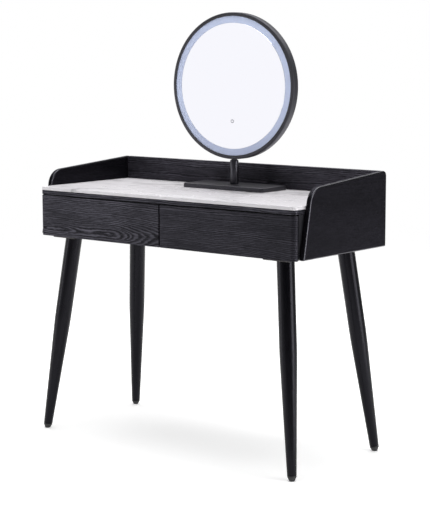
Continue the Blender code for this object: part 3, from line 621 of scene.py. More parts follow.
def make_materials():
    return {
        # One stained ash in four copies. The back panel's copy is lighter: painted light. The wings' copy
        # is much darker: painted shade. The right front's copy is partly a plainer sheet and partly a shade
        # darker: painted shade.
        "crown_ash": black_ash("crown_cut_ash", (0.0062, 0.0060, 0.0078), (0.076, 0.073, 0.090)),
        "plain_shaded_ash": black_ash("plain_shaded_copy_ash", (0.0075, 0.0072, 0.0095), (0.052, 0.050, 0.062)),
        "back_ash": black_ash("lit_back_copy_ash", (0.0195, 0.0187, 0.0236), (0.096, 0.091, 0.112)),
        "shaded_wing_ash": black_ash("shaded_wing_copy_ash", (0.0016, 0.0015, 0.0021), (0.016, 0.015, 0.020), 0.08),
        "arris": powder_coat("polished_arris", (0.006, 0.006, 0.008), 0.22),
        "stone": veined_stone(),
        "lacquer": leg_lacquer(),
        "board": black_board(),
        "ply": stained_ply(),
        "linen": linen_board(),
        "coat": powder_coat("satin_black_coat", (0.010, 0.010, 0.012), 0.33, shine=0.9),
        "base": powder_coat("black_stand_coat", (0.024, 0.023, 0.027), 0.38, peel=0.0),
        "rim": powder_coat("satin_black_rim", (0.024, 0.024, 0.027), 0.42, metallic=0.3, spun=True),
        "zinc": zinc(),
        "black_zinc": powder_coat("black_zinc_plate", (0.030, 0.030, 0.032), 0.30, metallic=0.8),
        "nylon": moulded("black_nylon", (0.014, 0.014, 0.015), 0.46, 0.0006),
        # Painted shade: the near-black of the strip under the top board.
        "shade_black": moulded("black_shade_strip", (0.002, 0.002, 0.002), 0.9, 0.0006),
        "grey_plastic": moulded("grey_plastic", (0.20, 0.195, 0.185), 0.42, 0.0005),
        "cover": moulded("black_abs", (0.016, 0.016, 0.017), 0.50, 0.0004),
        "mirror": silvered_glass(),
        "band": frosted_band(),
        "icon": moulded("etched_icon", (0.34, 0.34, 0.39), 0.55, 0.0005),
        "board_white": moulded("white_solder_mask", (0.72, 0.72, 0.70), 0.35, 0.0008),
        "phosphor": moulded("lamp_phosphor", (0.80, 0.66, 0.22), 0.40, 0.0003),
    }


# Outlines


def rounded(corners, steps=ARC_STEPS):
    """The points of an anticlockwise outline whose convex corners are (a, b, radius)."""
    points = []
    for index, (a, b, radius) in enumerate(corners):
        corner = Vector((a, b))
        if radius == 0:
            points.append(corner)
            continue
        before = (Vector(corners[index - 1][:2]) - corner).normalized()
        after = (Vector(corners[(index + 1) % len(corners)][:2]) - corner).normalized()
        half = before.angle(after) / 2
        centre = corner + (before + after).normalized() * radius / math.sin(half)
        arm = corner + before * radius / math.tan(half) - centre
        for step in range(steps + 1):
            turn = Matrix.Rotation((math.pi - 2 * half) * step / steps, 2)
            points.append(centre + turn @ arm)
    return points


def rectangle(low, high, radius=0.0):
    """An outline between two corners, with all four rounded alike."""
    corners = [(low[0], low[1]), (high[0], low[1]), (high[0], high[1]), (low[0], high[1])]
    return rounded([(*corner, radius) for corner in corners])


def oblong(centre, width, length, radius=0.0):
    """A rectangle about its centre."""
    low = (centre[0] - width / 2, centre[1] - length / 2)
    high = (centre[0] + width / 2, centre[1] + length / 2)
    return rectangle(low, high, radius)


def wing_outline(low, high):
    """The wing in (y, z): a leaning front edge, a slowly rising top and rounded top corners."""
    rise = math.tan(WING_TOP_RISE)
    lean = math.tan(WING_LEAN)
    # Rounding lowers the rear corner. The drop is found on a short stretch of the same corner.
    corner = rounded([(1, -1, 0), (1, rise, WING_REAR_RADIUS), (0, 0, 0)])
    drop = rise - max(point[1] for point in corner)
    rear_z = high.z + drop
    run = high.y - low.y
    height = (rear_z - low.z - run * rise) / (1 - lean * rise)
    return rounded(
        [
            (low.y, low.z, 0),
            (high.y, low.z, 0),
            (high.y, rear_z, WING_REAR_RADIUS),
            (low.y + height * lean, low.z + height, WING_FRONT_RADIUS),
        ],
        WING_ARC_STEPS,
    )


# Shapes


def placed(axis, a, b, w):
    """A point from its two outline coordinates and its place along the plate's thickness."""
    return Vector({"x": (w, a, b), "y": (a, w, b), "z": (a, b, w)}[axis])


def plate(outline, low, high, axis, edge=0.0, segments=3):
    """A flat outline given thickness along an axis, with its edges eased."""
    shape = bmesh.new()
    face = shape.faces.new([shape.verts.new(placed(axis, a, b, low)) for a, b in outline])
    grown = bmesh.ops.extrude_face_region(shape, geom=[face])["geom"]
    moved = [item for item in grown if isinstance(item, bmesh.types.BMVert)]
    bmesh.ops.translate(shape, verts=moved, vec=placed(axis, 0, 0, high - low))
    bmesh.ops.recalc_face_normals(shape, faces=shape.faces)
    if edge:
        ease(shape, edge, segments)
    return shape


def level_board(node, left_radius, right_radius, edge, segments=3):
    """A board that fills a node's box, with its own radius at each front corner."""
    low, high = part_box(node)
    front = [(low.x, low.y, left_radius), (high.x, low.y, right_radius)]
    outline = rounded([*front, (high.x, high.y, 0), (low.x, high.y, 0)])
    return plate(outline, low.z, high.z, "z", edge, segments)


def ease(shape, width, segments):
    """Eases every sharp edge."""
    sharp = [e for e in shape.edges if e.is_manifold and e.calc_face_angle() > SHARP_TURN]
    bmesh.ops.bevel(
        shape, geom=sharp, offset=width, segments=segments, profile=0.5, affect="EDGES", clamp_overlap=True
    )


def ease_level(shape, height, width, segments):
    """Eases only the edges that lie level at a height."""
    level = [e for e in shape.edges if all(abs(v.co.z - height) < 1e-6 for v in e.verts)]
    bmesh.ops.bevel(shape, geom=level, offset=width, segments=segments, profile=0.5, affect="EDGES")


def turned(profile, steps, place=Matrix(), closed=False):
    """A profile of (radius, height) points turned about +Z, then carried by a matrix."""
    shape = bmesh.new()
    rings = []
    for radius, height in profile:
        count = steps if radius > 0 else 1
        angles = [2 * math.pi * step / steps for step in range(count)]
        rings.append(
            [shape.verts.new((radius * math.cos(a), radius * math.sin(a), height)) for a in angles]
        )
    pairs = list(zip(rings, rings[1:]))
    if closed:
        pairs.append((rings[-1], rings[0]))
    for first, second in pairs:
        join_rings(shape, first, second, steps)
    bmesh.ops.recalc_face_normals(shape, faces=shape.faces)
    shape.transform(place)
    return shape


def join_rings(shape, first, second, steps):
    """Faces between two rings of points, either of which may be a single point."""
    for step in range(steps):
        after = (step + 1) % steps
        corners = [first[step % len(first)], first[after % len(first)]]
        corners += [second[after % len(second)], second[step % len(second)]]
        unique = [c for index, c in enumerate(corners) if c not in corners[:index]]
        if len(unique) > 2:
            shape.faces.new(unique)


def rod(radius, length):
    """The profile of a plain rod standing on height 0."""
    return [(0, 0), (radius, 0), (radius, length), (0, length)]


def ball(centre):
    shape = bmesh.new()
    bmesh.ops.create_icosphere(shape, subdivisions=2, radius=BALL_RADIUS, matrix=Matrix.Translation(centre))
    return shape


def aimed(origin, direction, turn=0.0):
    """The matrix that carries +Z to a direction at an origin."""
    rotation = UP.rotation_difference(Vector(direction)).to_matrix().to_4x4()
    return Matrix.Translation(origin) @ rotation @ Matrix.Rotation(turn, 4, "Z")


def merged(shapes):
    """Several shapes as one."""
    whole = bmesh.new()
    for shape in shapes:
        mesh = bpy.data.meshes.new("part")
        shape.to_mesh(mesh)
        shape.free()
        whole.from_mesh(mesh)
        bpy.data.meshes.remove(mesh)
    return whole


def linked_object(name, shape):
    """A shape as an object of the scene. The shape is used up."""
    mesh = bpy.data.meshes.new(name)
    shape.to_mesh(mesh)
    shape.free()
    made = bpy.data.objects.new(name, mesh)
    bpy.context.scene.collection.objects.link(made)
    return made


def cut(shape, cutters):
    """The shape less its cutters, by exact Booleans."""
    blank = linked_object("blank", shape)
    tools = [linked_object("cutter", cutter) for cutter in cutters]
    for tool in tools:
        boolean = blank.modifiers.new("cut", "BOOLEAN")
        boolean.operation = "DIFFERENCE"
        boolean.solver = "EXACT"
        boolean.object = tool
    result = bmesh.new()
    result.from_object(blank, bpy.context.evaluated_depsgraph_get())
    for item in (blank, *tools):
        mesh = item.data
        bpy.data.objects.remove(item)
        bpy.data.meshes.remove(mesh)
    return result


def trim(shape, point, outwards):
    """Cuts a shape off at a plane and closes it there."""
    geometry = [*shape.verts, *shape.edges, *shape.faces]
    bmesh.ops.bisect_plane(shape, geom=geometry, plane_co=point, plane_no=outwards, clear_outer=True)
    bmesh.ops.holes_fill(shape, edges=[e for e in shape.edges if e.is_boundary], sides=0)
    bmesh.ops.recalc_face_normals(shape, faces=shape.faces)
    return shape


# Pieces


def make_piece(name, shape, material, body, slot, node=None, weighted=False, sharp=35):
    """The finished object: smooth where faces nearly agree, riding on its body in place of a node."""
    piece = linked_object(name, shape)
    piece.data.shade_smooth()
    piece.data.set_sharp_from_angle(angle=math.radians(sharp))
    piece.data.materials.append(MATERIALS[material])
    if weighted:
        normals = piece.modifiers.new("Flat faces first", "WEIGHTED_NORMAL")
        normals.keep_sharp = True
    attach(piece, body)
    if node:
        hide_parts(node)
    return piece


def make_veneered(name, shape, material, body, node, along, sheet_from, **shading):
    """A veneered board, with its grain running along a direction."""
    piece = make_piece(name, shape, material, body, "black_veneer", node, **shading)
    set_grain(piece, along, UP, sheet_from)
    return piece


def store_grain(piece, measure):
    """Stores what a function measures at each point of a piece, as its place in the grain."""
    values = [value for vertex in piece.data.vertices for value in measure(vertex.co)]
    attribute = piece.data.attributes.new("grain", "FLOAT_VECTOR", "POINT")
    attribute.data.foreach_set("vector", values)


def set_grain(piece, along, across, origin):
    """Stores where each point lies in its sheet of veneer: along, across and into the board."""
    origin = Vector(origin)
    axes = (along, across, along.cross(across))
    store_grain(piece, lambda point: [(point - origin).dot(axis) for axis in axes])


def set_round_grain(piece):
    """Stores each point's direction from the mirror's axis, and its reach out and back from the face."""
    inverse = HEAD.inverted()

    def measure(point):
        local = inverse @ point
        return [*local.xy.normalized(), local.xy.length - local.z]

    store_grain(piece, measure)


def make_screw_head():
    """A raised countersunk head with a cross recess. Its shoulder is at height 0."""
    arms = []
    for turn in (0, math.pi / 2):
        arm = plate(CROSS_OUTLINE, -CROSS_WIDTH / 2, CROSS_WIDTH / 2, "y")
        arm.transform(Matrix.Rotation(turn, 4, "Z"))
        arms.append(arm)
    return cut(turned(SCREW_PROFILE, 32), arms)


def screw(place):
    """A copy of the screw head, carried by a matrix that also turns its recess some way or other."""
    copy = SCREW_HEAD.copy()
    copy.transform(place)
    return copy


# Table


def make_top():
    """The stone slab and the veneered board under it."""
    slab = level_board("stone_top", CORNER_RADIUS, CORNER_RADIUS, SLAB_EDGE, 4)
    make_piece("stone_slab", slab, "stone", "table", "white_stone", "stone_top", weighted=True)
    board = level_board("top_board", CORNER_RADIUS, CORNER_RADIUS, BOARD_EDGE)
    make_veneered(
        "veneered_top_board", board, "crown_ash", "table", "top_board", RIGHT, TOP_SHEET_FROM, weighted=True
    )


def make_gap_shade_strip():
    """A black strip that closes the gap between the top board and the drawer fronts: painted shade, a dark
    piece set where the gap shows only shade.
    """
    low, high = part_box("top_board")
    front_low, front_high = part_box("drawer_front_left")
    near = (low.x + STRIP_INSET, front_low.y + STRIP_INSET)
    far = (high.x - STRIP_INSET, front_high.y)
    outline = rectangle(near, far, CORNER_RADIUS - STRIP_INSET)
    strip = plate(outline, front_high.z + FIT, low.z - STRIP_GAP, "z", STRIP_EDGE)
    make_piece("gap_shade_strip", strip, "shade_black", "table", "black_nylon")


def make_wings():
    """The outer panels of the case, with a polished arris where their faces turn."""
    for name, side in SIDES.items():
        low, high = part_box(f"wing_{name}")
        wing = plate(wing_outline(low, high), low.x, high.x, "x", WING_ARRIS, 2)
        piece = make_veneered(
            f"wing_panel_{name}",
            wing,
            "shaded_wing_ash",
            "table",
            f"wing_{name}",
            BACK,
            side * WING_SHEET_FROM,
            sharp=15,
        )
        piece.data.materials.append(MATERIALS["arris"])
        for face in piece.data.polygons:
            if ARRIS_TURN < abs(face.normal.x) < 1 - ARRIS_TURN:
                face.material_index = 1


def make_back():
    """The back panel that stands up as the gallery, and the caps over the screws behind it."""
    low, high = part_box("back_panel")
    back = plate(rectangle(low.xz, high.xz), low.y, high.y, "y", BACK_EDGE)
    make_veneered(
        "gallery_back", back, "back_ash", "table", "back_panel", RIGHT, BACK_SHEET_FROM, weighted=True
    )
    edge = high.x - CAP_INSET
    rows = {CAP_LOW: (-edge, -CAP_SPACING, 0, CAP_SPACING, edge), CAP_HIGH: (-edge, 0, edge)}
    caps = [
        turned(CAP_PROFILE, 24, aimed((x, high.y, low.z + rise), BACK))
        for rise, row in rows.items()
        for x in row
    ]
    make_piece("back_screw_caps", merged(caps), "nylon", "table", "black_nylon")


def make_fronts():
    """The drawer fronts, each grooved for its bottom and rounded at the table's corner."""
    for name, side in SIDES.items():
        node = f"drawer_front_{name}"
        radii = (CORNER_RADIUS, MEETING_RADIUS) if side < 0 else (MEETING_RADIUS, CORNER_RADIUS)
        front = level_board(node, *radii, BOARD_EDGE)
        low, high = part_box(f"drawer_bottom_{name}")
        groove_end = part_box(node)[1].y + OVERRUN
        outline = rectangle((low.x - FIT, low.y - FIT), (high.x + FIT, groove_end))
        front = cut(front, [plate(outline, low.z - FIT, high.z + FIT, "z")])
        make_veneered(
            f"front_panel_{name}",
            front,
            "crown_ash" if side < 0 else "plain_shaded_ash",
            f"drawer_{name}",
            node,
            RIGHT,
            FRONT_SHEETS_FROM[name],
            weighted=True,
        )


def make_legs():
    for end_name, end in ENDS.items():
        for side_name, side in SIDES.items():
            make_leg(f"{end_name}_{side_name}", Vector((side, end)))


def make_leg(place, corner):
    """A leg cut level under its block, with the glide in its tip."""
    top_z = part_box(f"leg_{place}")[1].z
    foot = (corner * LEG_FOOT).to_3d()
    top = (corner * LEG_TOP).to_3d() + UP * (top_z + FIT)
    axis = (top - foot).normalized()
    lean = aimed(foot, axis)
    leg = trim(turned(leg_profile(), LEG_STEPS, lean), (0, 0, top_z), UP)
    piece = make_piece(
        f"turned_leg_{place}", leg, "lacquer", "table", "leg_lacquer", f"leg_{place}", sharp=30
    )
    set_grain(piece, axis, BACK, foot + (corner * LEG_GRAIN_SHIFT).to_3d())
    glide = trim(turned(glide_profile(), 48, lean), (0, 0, 0), -UP)
    make_piece(f"glide_{place}", glide, "nylon", "table", "black_nylon", f"foot_glide_{place}", sharp=30)


def leg_profile():
    """The leg's radius up its axis: a chamfered tip, a straight taper and a soft knee."""
    slope = (LEG_RADIUS - LEG_TIP_RADIUS) / (LEG_TAPER_FROM - LEG_TIP)
    profile = [
        (0, LEG_TIP),
        (LEG_TIP_RADIUS - 0.0012, LEG_TIP),
        (LEG_TIP_RADIUS - 0.0003, LEG_TIP + 0.0004),
        (LEG_TIP_RADIUS + slope * LEG_TIP_CHAMFER, LEG_TIP + LEG_TIP_CHAMFER),
    ]
    taper = LEG_TAPER_FROM - LEG_KNEE - LEG_TIP
    for share in (0.25, 0.5, 0.75):
        profile.append((LEG_TIP_RADIUS + slope * taper * share, LEG_TIP + taper * share))
    for step in range(9):
        reach = LEG_KNEE * (step / 4 - 1)
        blend = (LEG_KNEE - reach) ** 2 / (4 * LEG_KNEE)
        profile.append((LEG_RADIUS - slope * blend, LEG_TAPER_FROM + reach))
    return profile + [(LEG_RADIUS, height) for height in LEG_BLANK]


def glide_profile():
    """The glide's radius up the leg's axis. It starts below the floor, where it is trimmed level."""
    return [
        (0, LEG_TIP - FIT),
        (GLIDE_RADIUS - GLIDE_EDGE, LEG_TIP - FIT),
        (GLIDE_RADIUS, LEG_TIP - 0.0009),
        (GLIDE_RADIUS, LEG_TIP - 0.0030),
        (GLIDE_RADIUS - 0.0002, LEG_TIP - 0.0036),
        (GLIDE_FLOOR_RADIUS + GLIDE_EDGE, 0.0016),
        (GLIDE_FLOOR_RADIUS, 0),
        (GLIDE_FLOOR_RADIUS - 0.0004, -GLIDE_TRIMMED),
        (0, -GLIDE_TRIMMED),
    ]


def make_block_screws():
    """Four countersunk screws through each leg block, with their heads just proud of it."""
    for place in (f"{end}_{side}" for end in ENDS for side in SIDES):
        low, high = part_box(f"leg_block_{place}")
        heads = [
            screw(aimed((x, y, low.z + BLOCK_SCREW_DEPTH), -UP, 0.4 + 3 * x))
            for x in (low.x + BLOCK_SCREW_INSET, high.x - BLOCK_SCREW_INSET)
            for y in (low.y + BLOCK_SCREW_INSET, high.y - BLOCK_SCREW_INSET)
        ]
        make_piece(f"block_screws_{place}", merged(heads), "zinc", "table", "zinc_steel", sharp=25)


# Drawers


def make_cam_covers():
    """Plastic covers over the cams that draw each side up to its front, inside the drawer."""
    for name in SIDES:
        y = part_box(f"drawer_front_{name}")[1].y + CAM_FROM_FRONT
        covers = []
        for wall_name, wall in SIDES.items():
            low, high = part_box(f"drawer_side_{name}_{wall_name}")
            x = high.x if wall < 0 else low.x
            for z in (low.z + CAM_RISE, high.z - CAM_DROP):
                covers.append(turned(CAM_PROFILE, 32, aimed((x, y, z), (-wall, 0, 0))))
        make_piece(f"cam_covers_{name}", merged(covers), "grey_plastic", f"drawer_{name}", "black_nylon")


def make_ball_cages():
    """Strips of balls above and below each middle member: a pair outside it and a pair inside."""
    for name in SIDES:
        for place in (f"{name}_{wall}" for wall in SIDES):
            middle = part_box(f"runner_middle_{place}")
            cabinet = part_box(f"runner_cabinet_{place}")
            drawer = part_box(f"runner_drawer_{place}")
            low, high = middle
            half = (high.z - low.z) / 2
            outside = half + RUNNER_BALL_GAP / 2
            inside = half - RUNNER_GAUGE - RUNNER_BALL_GAP / 2
            rearmost = high.y - CAGE_FROM_END - CAGE_LENGTH
            spans = {
                "outer": (shared_x(cabinet, middle), rearmost, outside),
                "inner": (shared_x(drawer, middle), low.y + CAGE_FROM_END, inside),
            }
            for cage, (x, start, offset) in spans.items():
                heights = [low.z + half - offset, low.z + half + offset]
                strips = merged([shape for z in heights for shape in ball_strip(x, start, z)])
                body = f"runner_middles_{name}"
                make_piece(f"ball_cage_{cage}_{place}", strips, "zinc", body, "zinc_steel")


def ball_strip(x, start, z):
    """A thin cage and the row of balls that it carries."""
    outline = oblong((x, start + CAGE_LENGTH / 2), CAGE_WIDTH, CAGE_LENGTH, CAGE_RADIUS)
    cage = plate(outline, z - CAGE_THICK / 2, z + CAGE_THICK / 2, "z")
    return [cage] + [ball((x, start + BALL_FROM_END + BALL_SPACING * step, z)) for step in range(BALLS)]


def shared_x(first, second):
    """The middle of the stretch of x that two boxes share."""
    return (max(first[0].x, second[0].x) + min(first[1].x, second[1].x)) / 2


def make_runner_screws():
    """Screws in the webs of the drawer and cabinet members, with their heads inside the channels."""
    for name in SIDES:
        for wall_name, wall in SIDES.items():
            place = f"{name}_{wall_name}"
            for member, body in (("drawer", f"drawer_{name}"), ("cabinet", "table")):
                low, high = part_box(f"runner_{member}_{place}")
                outwards = wall if member == "drawer" else -wall
                web_x = (low.x if outwards > 0 else high.x) + outwards * (RUNNER_GAUGE - RUNNER_SCREW_DEPTH)
                z = (low.z + high.z) / 2
                heads = [
                    screw(aimed((web_x, low.y + along, z), (outwards, 0, 0), 9 * along))
                    for along in RUNNER_SCREWS_ALONG
                ]
                make_piece(
                    f"runner_screws_{member}_{place}", merged(heads), "zinc", body, "zinc_steel", sharp=25
                )


# Mirror. The head's own axes are its right, up and the way that it faces, from its middle.

HEAD_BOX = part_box("mirror_rim")
RIM_RADIUS = (HEAD_BOX[1].z - HEAD_BOX[0].z) / 2
POST_AT = Vector(JOINTS["mirror_swivel"]["pos_m"])
HEAD_RIGHT = -Vector(JOINTS["mirror_tilt"]["axis"]).normalized()
HEAD_FORWARD = HEAD_RIGHT.cross(UP)
HEAD_AT = Vector((POST_AT.x, POST_AT.y, HEAD_BOX[0].z + RIM_RADIUS))
HEAD = Matrix.Translation(HEAD_AT) @ Matrix((HEAD_RIGHT, UP, HEAD_FORWARD)).transposed().to_4x4()
GLASS_FACE = RIM_DEPTH / 2 - LIP_THICK - FIT
GLASS_BACK = GLASS_FACE - GLASS_THICK
COVER_BACK = -RIM_DEPTH / 2 + COVER_INSET


def disc_radius(node):
    low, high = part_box(node)
    return (high.z - low.z) / 2


def make_base():
    """The stand's base: a pocket under the post, and a duct from it to the power inlet."""
    low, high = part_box("mirror_base")
    inlet_low, inlet_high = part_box("power_inlet")
    base = plate(rectangle(low, high, BASE_RADIUS), low.z, high.z, "z")
    ease_level(base, high.z, BASE_TOP_EDGE, 6)
    ease_level(base, low.z, BASE_FOOT_EDGE, 2)
    pocket = oblong(POST_AT, POCKET_SIZE, POCKET_SIZE, POCKET_RADIUS)
    duct_end = inlet_low.y + DUCT_LAP
    duct = rectangle((POST_AT.x - DUCT_WIDTH / 2, POST_AT.y), (POST_AT.x + DUCT_WIDTH / 2, duct_end))
    cutters = [plate(outline, low.z - OVERRUN, high.z - BASE_SKIN, "z") for outline in (pocket, duct)]
    inlet_at = (inlet_low + inlet_high) / 2
    socket_at = (inlet_at.x, inlet_low.y - SOCKET_LAP, inlet_at.z)
    socket_radius = (inlet_high.z - inlet_low.z) / 2 + FIT
    cutters.append(turned(rod(socket_radius, DRILL_LENGTH), 48, aimed(socket_at, BACK)))
    hole_at = (POST_AT.x, POST_AT.y, high.z - DRILL_LENGTH / 2)
    cutters.append(turned(rod(BASE_HOLE_RADIUS, DRILL_LENGTH), 48, aimed(hole_at, UP)))
    base = cut(base, cutters)
    make_piece(
        "stand_base", base, "base", "table", "satin_black_metal", "mirror_base", weighted=True, sharp=40
    )


def make_post():
    """The post: a spigot through the base, a bore for the wires and a wider one for the knuckle."""
    low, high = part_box("post")
    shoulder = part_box("mirror_base")[1].z + FIT
    radius = (high.x - low.x) / 2
    profile = [
        (KNUCKLE_BORE_RADIUS, high.z),
        *[(radius - inwards, high.z - down) for inwards, down in POST_EDGE],
        *[(radius - inwards, shoulder + up) for inwards, up in reversed(POST_EDGE)],
        (SPIGOT_RADIUS, shoulder),
        (SPIGOT_RADIUS, low.z),
        (WIRE_BORE_RADIUS, low.z),
        (WIRE_BORE_RADIUS, high.z - KNUCKLE_DEPTH),
        (KNUCKLE_BORE_RADIUS, high.z - KNUCKLE_DEPTH),
    ]
    post = turned(profile, 96, aimed((POST_AT.x, POST_AT.y, 0), UP), closed=True)
    make_piece("stand_post", post, "coat", "table", "satin_black_metal", "post", sharp=30)


def make_rim():
    """A spun aluminium ring: its lip holds the glass and light band, and its foot has the tongue's slot."""
    front = RIM_DEPTH / 2
    inner = RIM_RADIUS - RIM_WALL
    lip = RIM_RADIUS - LIP_WIDTH
    bend = Vector((RIM_RADIUS - RIM_ROUND, front - RIM_ROUND))
    angles = [math.pi / 2 * step / RIM_ROUND_STEPS for step in range(RIM_ROUND_STEPS + 1)]
    profile = [
        (lip, front - LIP_CHAMFER),
        (lip + LIP_CHAMFER, front),
        *[bend + RIM_ROUND * Vector((math.sin(a), math.cos(a))) for a in angles],
        *[(RIM_RADIUS - inwards, -front + up) for inwards, up in RIM_FOOT_EDGE],
        (inner, -front),
        (inner, front - LIP_THICK),
        (lip, front - LIP_THICK),
    ]
    rim = turned(profile, HEAD_STEPS, HEAD, closed=True)
    outline = oblong((0, 0), SLOT_WIDTH, SLOT_LENGTH, SLOT_RADIUS)
    slot = plate(outline, -RIM_RADIUS - OVERRUN, -RIM_RADIUS + 2 * RIM_WALL, "z")
    slot.transform(HEAD @ Matrix.Rotation(-math.pi / 2, 4, "X"))
    rim = cut(rim, [slot])
    piece = make_piece(
        "mirror_rim_ring", rim, "rim", "mirror_head", "satin_black_metal", "mirror_rim", sharp=30
    )
    set_round_grain(piece)


def make_glass():
    radius = disc_radius("mirror_glass")
    profile = [
        (0, GLASS_FACE),
        (radius - GLASS_EDGE, GLASS_FACE),
        (radius, GLASS_FACE - GLASS_EDGE),
        (radius, GLASS_BACK + GLASS_BACK_EDGE),
        (radius - GLASS_BACK_EDGE, GLASS_BACK),
        (0, GLASS_BACK),
    ]
    glass = turned(profile, HEAD_STEPS, HEAD)
    make_piece("silvered_mirror", glass, "mirror", "mirror_head", "mirror_silver", "mirror_glass", sharp=20)


def make_band():
    """The light band round the glass, with a ledge behind that carries the glass."""
    glass = disc_radius("mirror_glass")
    inner = glass + FIT
    outer = disc_radius("light_diffuser")
    wall = glass + DIFFUSER_THICK
    ledge = glass - DIFFUSER_LEDGE
    seat = GLASS_BACK - FIT
    profile = [
        (inner, GLASS_FACE - GLASS_EDGE),
        (inner + GLASS_EDGE, GLASS_FACE),
        (outer, GLASS_FACE),
        (outer, GLASS_FACE - DIFFUSER_THICK),
        (wall, GLASS_FACE - DIFFUSER_THICK),
        (wall, seat - LEDGE_THICK),
        (ledge, seat - LEDGE_THICK),
        (ledge, seat),
        (inner, seat),
    ]
    band = turned(profile, HEAD_STEPS, HEAD, closed=True)
    piece = make_piece(
        "frosted_band", band, "band", "mirror_head", "frosted_acrylic", "light_diffuser", sharp=30
    )
    set_round_grain(piece)


def make_touch_mark():
    """The mark of the touch switch, printed on the glass."""
    sweep = 2 * (math.pi - ICON_GAP)
    angles = [math.pi / 2 + ICON_GAP + sweep * step / ICON_STEPS for step in range(ICON_STEPS + 1)]
    outer = [(ICON_RADIUS * math.cos(a), ICON_RADIUS * math.sin(a)) for a in angles]
    inner = [(ICON_HOLLOW * x, ICON_HOLLOW * y) for x, y in reversed(outer)]
    outlines = [outer + inner, rectangle(*ICON_BAR, ICON_BAR_RADIUS)]
    icon = merged([plate(outline, 0, ICON_THICK, "z") for outline in outlines])
    icon.transform(HEAD @ Matrix.Translation((0, -ICON_DROP, GLASS_FACE)))
    make_piece("touch_mark", icon, "icon", "mirror_head", "mirror_silver")


def make_cover():
    """The moulded back of the head."""
    radius = disc_radius("back_cover")
    sunk = COVER_BACK + COVER_STEP
    profile = [
        (0, COVER_BACK + COVER_THICK),
        (radius, COVER_BACK + COVER_THICK),
        (radius, COVER_BACK + COVER_EDGE),
        (radius - COVER_EDGE, COVER_BACK),
        (radius - GROOVE_FROM, COVER_BACK),
        (radius - GROOVE_FROM - GROOVE_SLOPE, sunk),
        (radius - GROOVE_TO + GROOVE_SLOPE, sunk),
        (radius - GROOVE_TO, COVER_BACK),
        (COVER_PANEL_RADIUS, COVER_BACK),
        (COVER_PANEL_RADIUS - 2 * GROOVE_SLOPE, sunk),
        (0, sunk),
    ]
    cover = cut(turned(profile, HEAD_STEPS, HEAD), cover_vents())
    make_piece("head_back_cover", cover, "cover", "mirror_head", "black_plastic", "back_cover", sharp=25)


def cover_vents():
    """Cutters for a block of level slots, the middle one longest."""
    slots = []
    for row in range(VENTS):
        length = VENT_LENGTH - VENT_TAPER * abs(row - VENTS // 2)
        outline = oblong((0, VENTS_FROM - VENT_SPACING * row), length, VENT_WIDTH, VENT_RADIUS)
        slot = plate(outline, COVER_BACK - OVERRUN, COVER_BACK + OVERRUN, "z")
        slot.transform(HEAD)
        slots.append(slot)
    return slots


def make_cover_screws():
    heads = []
    for index in range(COVER_SCREWS):
        angle = 2 * math.pi * (index + 0.5) / COVER_SCREWS
        spot = (
            COVER_SCREW_RING * math.cos(angle),
            COVER_SCREW_RING * math.sin(angle),
            COVER_BACK + COVER_SCREW_DEPTH,
        )
        heads.append(screw(aimed(HEAD @ Vector(spot), -HEAD_FORWARD, 1.3 * index)))
    make_piece("cover_screws", merged(heads), "black_zinc", "mirror_head", "black_plastic", sharp=25)


def make_lamps():
    """Lamp packages on the ring behind the light band: a white body and a phosphor window."""
    radius = disc_radius("led_ring") - LAMP_INSET
    face = COVER_BACK + COVER_THICK + FIT + RING_THICK
    bodies = []
    windows = []
    for index in range(LAMPS):
        turn = Matrix.Rotation(2 * math.pi * index / LAMPS, 4, "Z")
        spot = HEAD @ turn @ Matrix.Translation((radius, 0, face))
        body = plate(oblong((0, 0), *LAMP_SIZE, LAMP_CORNER), 0, LAMP_THICK, "z")
        body.transform(spot)
        bodies.append(body)
        windows.append(turned(WINDOW_PROFILE, 12, spot))
    make_piece("lamp_bodies", merged(bodies), "board_white", "mirror_head", "circuit_board")
    make_piece("lamp_windows", merged(windows), "phosphor", "mirror_head", "circuit_board")


def dress_plain_nodes():
    """Gives its material to each CAD node that shows as it is."""
    for material, starts in PLAIN_NODES.items():
        for name, node in frame["nodes"].items():
            if name.startswith(starts):
                for material_slot in node.material_slots:
                    material_slot.material = MATERIALS[material]


# Studio


def make_camera():
    data = bpy.data.cameras.new("camera")
    data.lens = CAMERA_LENS
    data.sensor_width = SENSOR_WIDTH
    data.sensor_fit = "HORIZONTAL"
    camera = bpy.data.objects.new("camera", data)
    bpy.context.scene.collection.objects.link(camera)
    turn = Matrix.Rotation(CAMERA_YAW, 4, "Z") @ Matrix.Rotation(math.pi / 2 - CAMERA_PITCH, 4, "X")
    camera.matrix_world = Matrix.Translation(CAMERA_AT) @ turn @ Matrix.Rotation(CAMERA_ROLL, 4, "Z")
    bpy.context.scene.camera = camera


def add_light(name, location, target, size, power):
    data = bpy.data.lights.new(name, "AREA")
    data.shape = "RECTANGLE"
    data.size, data.size_y = size
    data.energy = power
    light = bpy.data.objects.new(name, data)
    bpy.context.scene.collection.objects.link(light)
    aim = (Vector(target) - Vector(location)).to_track_quat("-Z", "Y")
    light.matrix_world = Matrix.Translation(location) @ aim.to_matrix().to_4x4()
    light.visible_camera = False


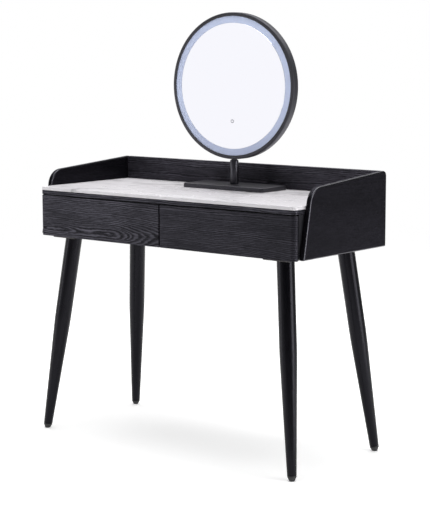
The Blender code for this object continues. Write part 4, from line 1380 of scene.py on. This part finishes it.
def make_world():
    """White where the camera sees it. For light, bright behind to the left and below, dim elsewhere."""
    scene = bpy.context.scene
    scene.view_settings.view_transform = "Standard"
    scene.world = bpy.data.worlds.new("studio")
    scene.world.use_nodes = True
    sky = Nodes(scene.world.node_tree)
    sky.tree.nodes.clear()
    x, y, z = sky.split(sky.node("ShaderNodeTexCoord").outputs["Generated"])
    wall = sky.product(sky.spread(x, *WALL_X, 0.0, WORLD_WALL), sky.spread(y, *WALL_Y))
    ground = sky.product(sky.spread(x, *GROUND_X, WORLD_RIGHT, WORLD_WHITE), sky.spread(z, *GROUND_Z))
    bright = sky.maths("MAXIMUM", sky.maths("MAXIMUM", wall, ground), STUDIO_DIM)
    felt = sky.node("ShaderNodeBackground", {"Color": (1, 1, 1), "Strength": bright})
    seen = sky.node("ShaderNodeBackground", {"Color": (1, 1, 1)})
    by_camera = sky.node("ShaderNodeLightPath").outputs["Is Camera Ray"]
    mix = sky.node("ShaderNodeMixShader", {0: by_camera, 1: felt.outputs[0], 2: seen.outputs[0]})
    sky.node("ShaderNodeOutputWorld", {"Surface": mix.outputs[0]})


def make_floor():
    """A white paper floor that fades into the white world well away from the table."""
    disc = bmesh.new()
    bmesh.ops.create_circle(disc, cap_ends=True, segments=96, radius=FLOOR_RADIUS)
    bmesh.ops.translate(disc, verts=disc.verts, vec=(0, 0, -FLOOR_DROP))
    floor = linked_object("floor", disc)
    paper = Finish("white_paper", Base_Color=(0.90, 0.90, 0.90), Roughness=0.8, Emission_Color=(1, 1, 1))
    reach = paper.node("ShaderNodeVectorMath", {0: paper.place()}, operation="LENGTH").outputs["Value"]
    sockets = paper.shader.inputs
    paper.set(sockets["Alpha"], paper.spread(reach, FLOOR_FADE_FROM, FLOOR_RADIUS, 1.0, 0.0))
    paper.set(sockets["Emission Strength"], paper.spread(reach, *GLOW_REACH, *GLOW))
    floor.data.materials.append(paper.material)


MATERIALS = make_materials()
SCREW_HEAD = make_screw_head()

make_top()
make_gap_shade_strip()
make_wings()
make_back()
make_fronts()
make_legs()
make_block_screws()
make_cam_covers()
make_ball_cages()
make_runner_screws()
make_base()
make_post()
make_rim()
make_glass()
make_band()
make_touch_mark()
make_cover()
make_cover_screws()
make_lamps()
dress_plain_nodes()

make_camera()
make_world()
make_floor()
for light_name, setting in LIGHTS.items():
    add_light(light_name, *setting)
